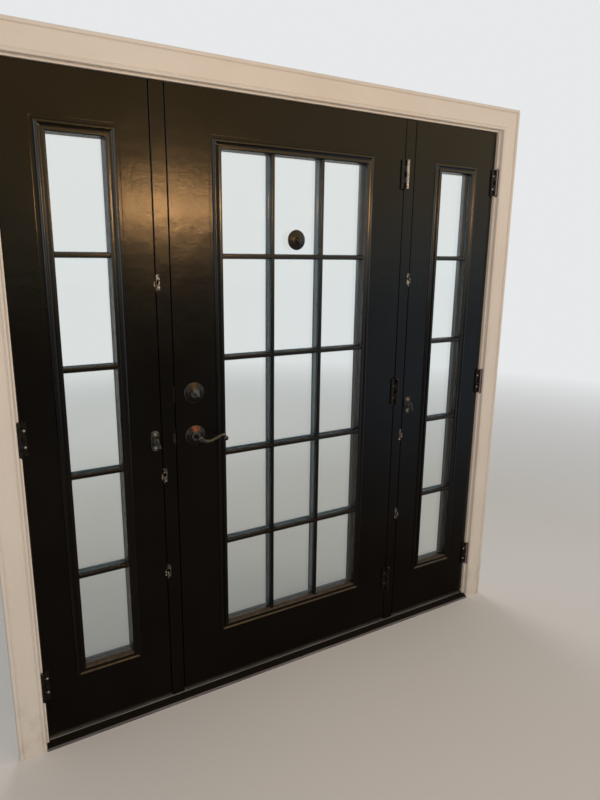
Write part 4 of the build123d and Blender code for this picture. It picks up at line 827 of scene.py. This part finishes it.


# %% [markdown]
# The leaves and posts are rolled and brushed with a semi-gloss black. The wood under it is
# never quite flat and a roller leaves a soft orange-peel stipple, so a mirrored light
# spreads into an uneven glow, and the small ledges of the mouldings that look up are a
# lighter, duller brown, most near the floor. Round each lite frame the brush that cut in the
# edge left a faint ridge with round corners. Outdoors the paint is a slate blue as painted
# daylight, its sideways flanks are lighter as a painted reflection, and the feet of the bars
# against the panes are painted with the blue of daylight.

# %% Black paint
RIDGE_OUTSIDE = 0.010
RIDGE_CORNER = 0.014
RIDGE_HALF = 0.0003
RIDGE_SOFT = 0.0012
RIDGE_HEIGHT = 2.2
STUD_HEIGHTS = (0.517, 0.866, 1.496)
CHIP_BELOW_STUD = 0.007
CHIP_HALF_WIDE = 0.003
CHIP_HALF_HIGH = 0.008
CHIP_SOFT = 0.003
CHIP_COLOR = (0.42, 0.36, 0.27)
PAINT_TONES = ((0.0028, 0.0028, 0.0025), (0.0048, 0.0048, 0.0043))
# Painted daylight outdoors: a slate blue, lighter flanks as a painted reflection, and blue by the panes.
DAYLIGHT_SLATE_TONES = ((0.016, 0.024, 0.029), (0.026, 0.038, 0.046))
DAYLIT_TONE = (0.16, 0.30, 0.40)
FLANK_REFLECTION_TONE = (0.070, 0.088, 0.090)
PANE_BACK = (0.0356, 0.0362)
# A lighter brown on faces that look up, most below about 0.3 m.
LEDGE_TONE = (0.105, 0.078, 0.056)
LEDGE_FADES = (0.26, 0.34)
WAVE_HEIGHT = 6.5
ROLLED = {"stipple": 170.0, "depth": 0.00008, "ledge_amount": 0.25, "gloss": 0.44}
BRUSHED = {"stipple": 600.0, "depth": 0.00004, "ledge_amount": 0.9, "gloss": 0.85}


def ridge_round(tree, x, z, leaf):
    """A thin raised line round a leaf's lite frame.

    With q the distance outside a smaller box on each axis, the length of max(q, 0) is one
    corner radius everywhere on a box with round corners.
    """
    squares = []
    for value, (middle, half) in zip((x, z), frame_box(leaf)):
        straight = half * MM + RIDGE_OUTSIDE - RIDGE_CORNER
        gap = calc(tree, "SUBTRACT", apart(tree, value, middle * MM), straight)
        outside = calc(tree, "MAXIMUM", gap, 0.0)
        squares.append(times(tree, outside, outside))
    reach = calc(tree, "SQRT", calc(tree, "ADD", *squares))
    return within(tree, reach, RIDGE_CORNER, RIDGE_HALF, RIDGE_SOFT)


def chips(tree, place, x, z, side):
    """Where the keepers and studs have rubbed the paint off a side leaf's lock edge."""
    left, right = LEAF_SPANS[side]
    edge = (right if side == "left" else left) * MM
    along = within(tree, x, edge, CHIP_HALF_WIDE, CHIP_SOFT)
    places = [height - CHIP_BELOW_STUD for height in STUD_HEIGHTS]
    heights = [within(tree, z, height, CHIP_HALF_HIGH, CHIP_SOFT) for height in places]
    any_height = calc(tree, "ADD", *heights)
    broken = spread(tree, noise(tree, place, 190.0, 3.0), 0, 1, 0.47, 0.55)
    return times(tree, along, any_height, broken)


def black_paint(name, stipple, depth, ledge_amount, gloss, leaf=None, painted_daylight=False):
    """Semi-gloss black over a rolled stipple; what looks up is a lighter, duller brown, most near the
    floor.
    """
    material, tree, shader, place = start_finish(name, specular=gloss)
    x, y, z = split(tree, place)
    patches = spread(tree, noise(tree, place, 5.0, 4.0), 0, 1)
    tone = blend(tree, patches, *(DAYLIGHT_SLATE_TONES if painted_daylight else PAINT_TONES))
    # Outdoors: slate blue as painted daylight, lighter sideways flanks as a painted reflection, and painted
    # blue daylight on the bars' feet.
    if painted_daylight:
        flank_reflection = spread(tree, calc(tree, "ABSOLUTE", facing(tree)[0]), 0, 1, 0.8, 0.95)
        tone = blend(tree, flank_reflection, tone, FLANK_REFLECTION_TONE)
        tone = blend(tree, spread(tree, y, 1, 0, *PANE_BACK), tone, DAYLIT_TONE)
    # Faces that look up turn a lighter, duller brown, most below about 0.3 m.
    low = spread(tree, z, 1, 0.15, *LEDGE_FADES)
    shelf = spread(tree, facing(tree)[2], 0, 1, 0.35, 0.85)
    ledge = spread(tree, noise(tree, place, 60.0, 5.0), 0.25 * ledge_amount, ledge_amount)
    ledge = times(tree, shelf, ledge, low)
    tone = blend(tree, ledge, tone, LEDGE_TONE)
    rough = spread(tree, noise(tree, place, 11.0, 3.0), 0.185, 0.225)
    rough = calc(tree, "ADD", rough, times(tree, ledge, 0.6))
    rolled = noise(tree, place, stipple, 2.0, (0.45, 1, 1))
    fine = times(tree, noise(tree, place, stipple * 2.5, 1.0), 0.4)
    wavy = times(tree, noise(tree, place, 22.0, 2.0), WAVE_HEIGHT)
    height = calc(tree, "ADD", rolled, fine, wavy)
    if leaf:
        ridge = times(tree, ridge_round(tree, x, z, leaf), RIDGE_HEIGHT)
        height = calc(tree, "ADD", height, ridge)
    if leaf in ("left", "right"):
        bare = chips(tree, place, x, z, leaf)
        tone = blend(tree, bare, tone, CHIP_COLOR)
        height = calc(tree, "SUBTRACT", height, bare)
    shine = spread(tree, shelf, gloss, 0.3 * gloss, 0, 1)
    feed(tree, shader.inputs["Specular IOR Level"], shine)
    give_surface(tree, shader, tone, rough, height, depth)
    return material


paint_post = black_paint("black_rolled_paint", **ROLLED)
paint_leaf = {leaf: black_paint(f"black_paint_{leaf}_leaf", leaf=leaf, **ROLLED) for leaf in LEAF_SPANS}
paint_moulding = black_paint("black_brushed_paint", **BRUSHED)
# The outdoor lite frames: black paint with painted daylight and painted reflections.
outdoor_daylight_paint = black_paint("black_paint_painted_daylight", painted_daylight=True, **BRUSHED)
print("black finishes:", 3 + len(paint_leaf))


# %% [markdown]
# The casing and the jambs are a warm white with faint brush marks along the boards. The
# marks are one noise drawn out along the board, so an upright board and a level board need
# the pattern drawn out along different axes.

# %% White paint
WHITE_TONES = ((0.72, 0.655, 0.58), (0.77, 0.72, 0.65))
BRUSH_MARK = (0.58, 0.51, 0.43)
GRIME = (0.36, 0.29, 0.22)
SCUFFED_BELOW = 0.35


def white_paint(name, along):
    """Warm white enamel, brushed along X or Z, a little grimy near the floor."""
    material, tree, shader, place = start_finish(name, specular=0.45)
    stretch = (0.02, 1, 1) if along == "X" else (1, 1, 0.02)
    marks = noise(tree, place, 260.0, 4.0, stretch)
    patches = spread(tree, noise(tree, place, 3.0, 4.0), 0, 1)
    tone = blend(tree, patches, *WHITE_TONES)
    tone = blend(tree, spread(tree, marks, 0.12, 0), tone, BRUSH_MARK)
    scuff = spread(tree, split(tree, place)[2], 0.4, 0, 0, SCUFFED_BELOW)
    grime = spread(tree, noise(tree, place, 28.0, 6.0), 0, 1, 0.45, 0.75)
    tone = blend(tree, times(tree, scuff, grime), tone, GRIME)
    give_surface(tree, shader, tone, spread(tree, marks, 0.30, 0.42), marks, 0.00012)
    return material


white_upright = white_paint("white_enamel_upright", "Z")
white_level = white_paint("white_enamel_level", "X")
print("white finishes:", white_upright.name, white_level.name)


# %% [markdown]
# The rest of the finishes are metals, rubber and glass. One helper makes a plain finish with
# its own wander of colour and roughness. The keepers have their own, because they were
# painted with the posts and have worn bare at the top.

# %% Metals and rubber
def worn(name, base, wear, amount, rough, metallic=0.0, scale=40.0):
    """A base colour that wears to a second one, at most by an amount, with a fine grain."""
    material, tree, shader, place = start_finish(name, metallic=metallic)
    patches = noise(tree, place, scale, 6.0)
    tone = blend(tree, spread(tree, patches, 0, amount, 0.42, 0.68), base, wear)
    grain = noise(tree, place, scale * 20, 2.0)
    give_surface(tree, shader, tone, spread(tree, patches, *rough), grain, 0.00003)
    return material


cap_vinyl = worn("cap_vinyl", (0.030, 0.028, 0.027), (0.06, 0.055, 0.05), 0.7, (0.3, 0.5), 0.0, 25)
seal_rubber = worn("seal_rubber", (0.006, 0.006, 0.006), (0.015, 0.014, 0.013), 0.6, (0.6, 0.8))
steel_pin = worn("steel_pin", (0.10, 0.098, 0.095), (0.03, 0.028, 0.026), 0.8, (0.3, 0.5), 0.8, 120)
screw_dull = worn("screw_dull", (0.66, 0.64, 0.60), (0.22, 0.19, 0.16), 0.7, (0.25, 0.4), 0.5, 260)
strike_dark = worn("strike_dark", (0.045, 0.042, 0.038), (0.02, 0.018, 0.015), 0.8, (0.3, 0.5), 0.6, 80)
bar_steel = worn("bar_steel", (0.50, 0.50, 0.49), (0.28, 0.27, 0.25), 0.7, (0.3, 0.5), 1.0, 60)
spacer_bronze = worn("spacer_bronze", (0.085, 0.068, 0.054), (0.16, 0.13, 0.105), 0.6, (0.4, 0.5), 0.6, 150)
screw_painted = worn("screw_painted", (0.1, 0.095, 0.09), (0.03, 0.027, 0.024), 0.7, (0.3, 0.45), 0.4, 260)
strip_zinc = worn("strip_zinc", (0.40, 0.36, 0.30), (0.10, 0.08, 0.065), 0.85, (0.35, 0.55), 0.15, 130)
hook_dark = worn("hook_dark", (0.010, 0.009, 0.008), (0.03, 0.027, 0.024), 0.6, (0.22, 0.4), 0.0, 60)

KEEPER_ZINC = (0.42, 0.40, 0.36)
KEEPER_PAINT = (0.022, 0.019, 0.016)
BARE_ABOVE = (1.0, 1.2)


def worn_keeper(name):
    """Zinc with the frame's black paint on it: worn off the top keepers, less so below."""
    material, tree, shader, place = start_finish(name, metallic=0.15)
    patches = noise(tree, place, 150.0, 6.0)
    start = spread(tree, split(tree, place)[2], 0.33, 0.43, *BARE_ABOVE)
    painted = spread(tree, patches, 0, 0.95, start, calc(tree, "ADD", start, 0.12))
    tone = blend(tree, painted, KEEPER_ZINC, KEEPER_PAINT)
    give_surface(tree, shader, tone, spread(tree, patches, 0.35, 0.55), painted, 0.0001)
    return material


keeper_zinc = worn_keeper("keeper_zinc")
print("materials so far:", len(bpy.data.materials))


# %% [markdown]
# The threshold is dark, and the two edges that feet meet are painted light, as polish from the
# feet and as a painted highlight: the front of its nose and the line where its slope reaches the leaves.

# %% Threshold
NOSE_LINE = (-0.0290, 0.0022)
TOP_LINE = (-0.0012, 0.0018)
LINE_SOFT = 0.0010
THRESHOLD_TONES = ((0.0020, 0.0020, 0.0020), (0.0075, 0.0070, 0.0068))
# The two edge lines are painted light: polish from feet and a painted highlight.
POLISH_AND_HIGHLIGHT_TONE = (0.200, 0.185, 0.190)


def threshold_polish_and_highlight(name):
    """Dark bronze paint with two light lines along it: polish and a painted highlight."""
    material, tree, shader, place = start_finish(name, specular=0.12)
    y = split(tree, place)[1]
    edges = [within(tree, y, *line, LINE_SOFT) for line in (NOSE_LINE, TOP_LINE)]
    streaks = noise(tree, place, 120.0, 5.0, (0.05, 1, 1))
    # Polish and painted highlight along the two edge lines.
    polish_and_highlight = times(tree, calc(tree, "MAXIMUM", *edges), spread(tree, streaks, 0.4, 1))
    tone = blend(tree, spread(tree, streaks, 0, 0.6), *THRESHOLD_TONES)
    tone = blend(tree, polish_and_highlight, tone, POLISH_AND_HIGHLIGHT_TONE)
    give_surface(tree, shader, tone, spread(tree, streaks, 0.34, 0.5), streaks, 0.00008)
    return material


threshold_bronze = threshold_polish_and_highlight("threshold_bronze")
print("polished lines at y =", NOSE_LINE[0], "and", TOP_LINE[0])


# %% [markdown]
# The lever set is a dark oiled bronze. It is nearly black, its edges are painted a cool grey
# as a painted highlight, and the top of the lever's rose is rubbed to copper where a hand
# brushes it. The rings round the side locks' screws are painted grey too, as a painted highlight.

# %% Oiled bronze
BRONZE_TONES = ((0.012, 0.011, 0.010), (0.034, 0.029, 0.027))
# Painted highlights: grey on the edges and in rings round the side locks' screws.
EDGE_HIGHLIGHT_TONE = (0.22, 0.24, 0.26)
RING_HIGHLIGHT_TONE = (0.20, 0.21, 0.22)
RING_RADIUS = 0.0082
COPPER_TONE = (0.165, 0.062, 0.052)
RUBBED_SPOT = (LOCK_X * MM + 0.002, (LEVER_Z + 24) * MM)


def oiled_bronze(name):
    """Near-black bronze, with copper where it is rubbed and painted grey highlights on edges and screw
    rings.
    """
    material, tree, shader, place = start_finish(name, metallic=0.75)
    x, _, z = split(tree, place)
    patches = noise(tree, place, 90.0, 6.0)
    tone = blend(tree, spread(tree, patches, 0, 0.5), *BRONZE_TONES)
    # Painted highlight: sharp edges, found by pointiness, are painted a cool grey.
    edge = add_node(tree, "NewGeometry").outputs["Pointiness"]
    edge = spread(tree, edge, 0, 1, 0.504, 0.53)
    tone = blend(tree, times(tree, edge, spread(tree, patches, 0.3, 1)), tone, EDGE_HIGHLIGHT_TONE)
    # Painted highlight: a grey ring round each screw of the side locks.
    dx = calc(tree, "SUBTRACT", calc(tree, "ABSOLUTE", x), SIDE_LOCK_X["right"] * MM)
    for screw in SCREWS_ROUND:
        dz = calc(tree, "SUBTRACT", z, (LEVER_Z + screw) * MM)
        squares = [times(tree, d, d) for d in (dx, dz)]
        radius = calc(tree, "SQRT", calc(tree, "ADD", *squares))
        tone = blend(tree, within(tree, radius, RING_RADIUS, 0.0007, 0.0008), tone, RING_HIGHLIGHT_TONE)
    across = within(tree, x, RUBBED_SPOT[0], 0.010, 0.006)
    upright = within(tree, z, RUBBED_SPOT[1], 0.006, 0.005)
    broken = spread(tree, noise(tree, place, 300.0, 3.0), 0.3, 1)
    tone = blend(tree, times(tree, across, upright, broken), tone, COPPER_TONE)
    rough = spread(tree, patches, 0.28, 0.40)
    give_surface(tree, shader, tone, rough, noise(tree, place, 1500.0, 2.0), 0.00001)
    return material


bronze = oiled_bronze("oiled_bronze")
print("bronze rubbed near", [round(v, 3) for v in RUBBED_SPOT])


# %% [markdown]
# The hinges were painted over with the leaves. Most barrels stay black; the top one of the
# middle leaf is rubbed to bare steel, and the right jamb's are rusty, with a painted highlight line down
# each barrel.

# %% Painted hinges
BARE_HINGE = (0.4625, 1.878)
BARREL_Y = (-0.0165, -0.0105)
RIGHT_BARREL_X = 0.9325
# A painted highlight line runs down the right jamb's barrels at this x.
HIGHLIGHT_LINE_X = 0.9283
HINGE_TONES = ((0.006, 0.0055, 0.005), (0.014, 0.012, 0.010))
RUST_TONE = (0.075, 0.028, 0.018)
HIGHLIGHT_LINE_TONE = (0.36, 0.35, 0.38)
BARE_STEEL = (0.50, 0.48, 0.47)


def painted_hinge(name):
    """Black paint, bare steel on one barrel, and rust with a painted highlight line on the right jamb's."""
    material, tree, shader, place = start_finish(name)
    x, y, z = split(tree, place)
    barrel = spread(tree, y, 1, 0, *BARREL_Y)
    across = within(tree, x, BARE_HINGE[0], 0.0060, 0.0005)
    upright = within(tree, z, BARE_HINGE[1], 0.060, 0.004)
    rubbed = spread(tree, noise(tree, place, 160.0, 6.0), 0.35, 1, 0.36, 0.50)
    bare = times(tree, across, upright, barrel, rubbed)
    # Painted highlight: a light line down the right jamb's barrels.
    line = within(tree, x, HIGHLIGHT_LINE_X, 0.0010, 0.0006)
    broken = spread(tree, noise(tree, place, 260.0, 5.0), 0.3, 1)
    line = times(tree, line, barrel, broken)
    rust = within(tree, x, RIGHT_BARREL_X, 0.0058, 0.0003)
    rust = times(tree, rust, spread(tree, noise(tree, place, 220.0, 5.0), 0.4, 1))
    black = spread(tree, noise(tree, place, 90.0, 5.0), 0, 1)
    tone = blend(tree, black, *HINGE_TONES)
    for amount, color in ((rust, RUST_TONE), (line, HIGHLIGHT_LINE_TONE), (bare, BARE_STEEL)):
        tone = blend(tree, amount, tone, color)
    feed(tree, shader.inputs["Metallic"], bare)
    rough = spread(tree, black, 0.22, 0.36, 0, 1)
    give_surface(tree, shader, tone, rough, noise(tree, place, 500.0, 3.0), 0.00005)
    return material


hinge_paint = painted_hinge("painted_hinge")
print("bare barrel at", BARE_HINGE)


# %% [markdown]
# Float glass is clear with the faintest green. Its colour stays on the shader itself, and
# only the roughness wanders, as wiped smears do.

# %% Glass
GLASS_TINT = (0.955, 0.975, 0.965)
GLASS_IOR = 1.5


def clear_glass(name):
    """Clear float glass with the faint green of its iron."""
    material, tree, shader, place = start_finish(name)
    shader.inputs["Base Color"].default_value = GLASS_TINT + (1.0,)
    shader.inputs["Transmission Weight"].default_value = 1.0
    shader.inputs["IOR"].default_value = GLASS_IOR
    smears = noise(tree, place, 7.0, 5.0)
    feed(tree, shader.inputs["Roughness"], spread(tree, smears, 0, 0.025))
    return material


pane_glass = clear_glass("pane_glass")
print("finishes:", len(bpy.data.materials))


# %% [markdown]
# ## The pieces
# Each fine piece now takes the place of the measured part that it follows, and rides on the
# same body, so it moves with its leaf, its lever or its lock. The mouldings come first.

# %% Mouldings
for name, side in (("left_casing", -1), ("right_casing", 1), ("head_casing", 0)):
    paint = white_upright if side else white_level
    put_piece(f"{name}_board", casing_board(side), paint, "frame", [name])

for leaf in LEAF_SPANS:
    for place, outdoors in (("inner", False), ("outer", True)):
        node = f"{leaf}_{place}_lite_frame"
        shape = lite_frame(leaf, outdoors)
        paint = outdoor_daylight_paint if outdoors else paint_moulding
        put_piece(f"{node}_moulding", shape, paint, f"{leaf}_door", [node])


# %% [markdown]
# Both levers turn together on one spindle, and the thumbturn turns as the deadbolt slides.
# The roses are fixed to the leaf, so they only swing with it.

# %% Lever set
LEVER_SET = (
    ("inner_rose_turned", rose(LEVER_Z), "middle_door", "inner_rose"),
    ("outer_rose_turned", rose(LEVER_Z, True), "middle_door", "outer_rose"),
    ("deadbolt_rose_turned", rose(DEADBOLT_Z, bore=TURN_BORE), "middle_door", "deadbolt_rose"),
    ("inner_lever_waved", lever(), "lever_set", "inner_lever"),
    ("outer_lever_waved", lever(True), "lever_set", "outer_lever"),
    ("thumbturn_paddle", thumbturn(), "turn_piece", "thumbturn"),
)
for name, shape, body, node in LEVER_SET:
    put_piece(name, shape, bronze, body, [node])


# %% [markdown]
# Each side leaf has a plate that stays on it and a small lever that turns. The hook sticks to
# the middle leaf's pane and swings with that leaf.

# %% Side locks and suction hook
for side in SIDE_LOCK_X:
    plate = lock_plate(side)
    put_piece(f"{side}_lock_capsule", plate, bronze, f"{side}_door", [f"{side}_lock_plate"])
    arm = lock_lever(side)
    put_piece(f"{side}_lock_paddle", arm, bronze, f"{side}_lever", [f"{side}_lock_lever"])
put_piece("suction_hook", suction_hook(), hook_dark, "middle_door", ["glass_hook"])


# %% [markdown]
# ## Dressing the measured parts
# A measured part whose shape is right keeps its mesh and only changes its material. A part's
# name ends in what it is, so the table gives the endings that each finish is for, and where
# two endings fit, the longer one counts. Parts that a fine piece replaces are dressed too.

# %% Finishes of the carried-over parts
FINISHES = (
    (white_upright, "jamb casing"),
    (white_level, "head_jamb head_casing"),
    (paint_post, "mullion"),
    (threshold_bronze, "sill"),
    (cap_vinyl, "threshold_cap"),
    (seal_rubber, "weatherstrip sweep"),
    (hinge_paint, "hinges"),
    (steel_pin, "hinge_pins"),
    (screw_dull, "screws"),
    (screw_painted, "middle_leaf_screws"),
    (strike_dark, "strikes case bolt"),
    (keeper_zinc, "keepers"),
    (paint_moulding, "lite_frame"),
    (pane_glass, "glass"),
    (spacer_bronze, "glass_spacer"),
    (hook_dark, "glass_hook"),
    (bronze, "rose lever thumbturn cylinder lock_plate"),
    (strip_zinc, "lock_strip"),
    (bar_steel, "lock_bar"),
)
FINISH_OF = {ending: finish for finish, endings in FINISHES for ending in endings.split()}
for leaf, paint in paint_leaf.items():
    FINISH_OF[f"{leaf}_leaf"] = paint

for part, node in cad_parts.items():
    ending = max((ending for ending in FINISH_OF if part.endswith(ending)), key=len)
    node.data.materials.clear()
    node.data.materials.append(FINISH_OF[ending])
print("dressed:", len(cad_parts), "parts with", len(FINISH_OF), "endings")
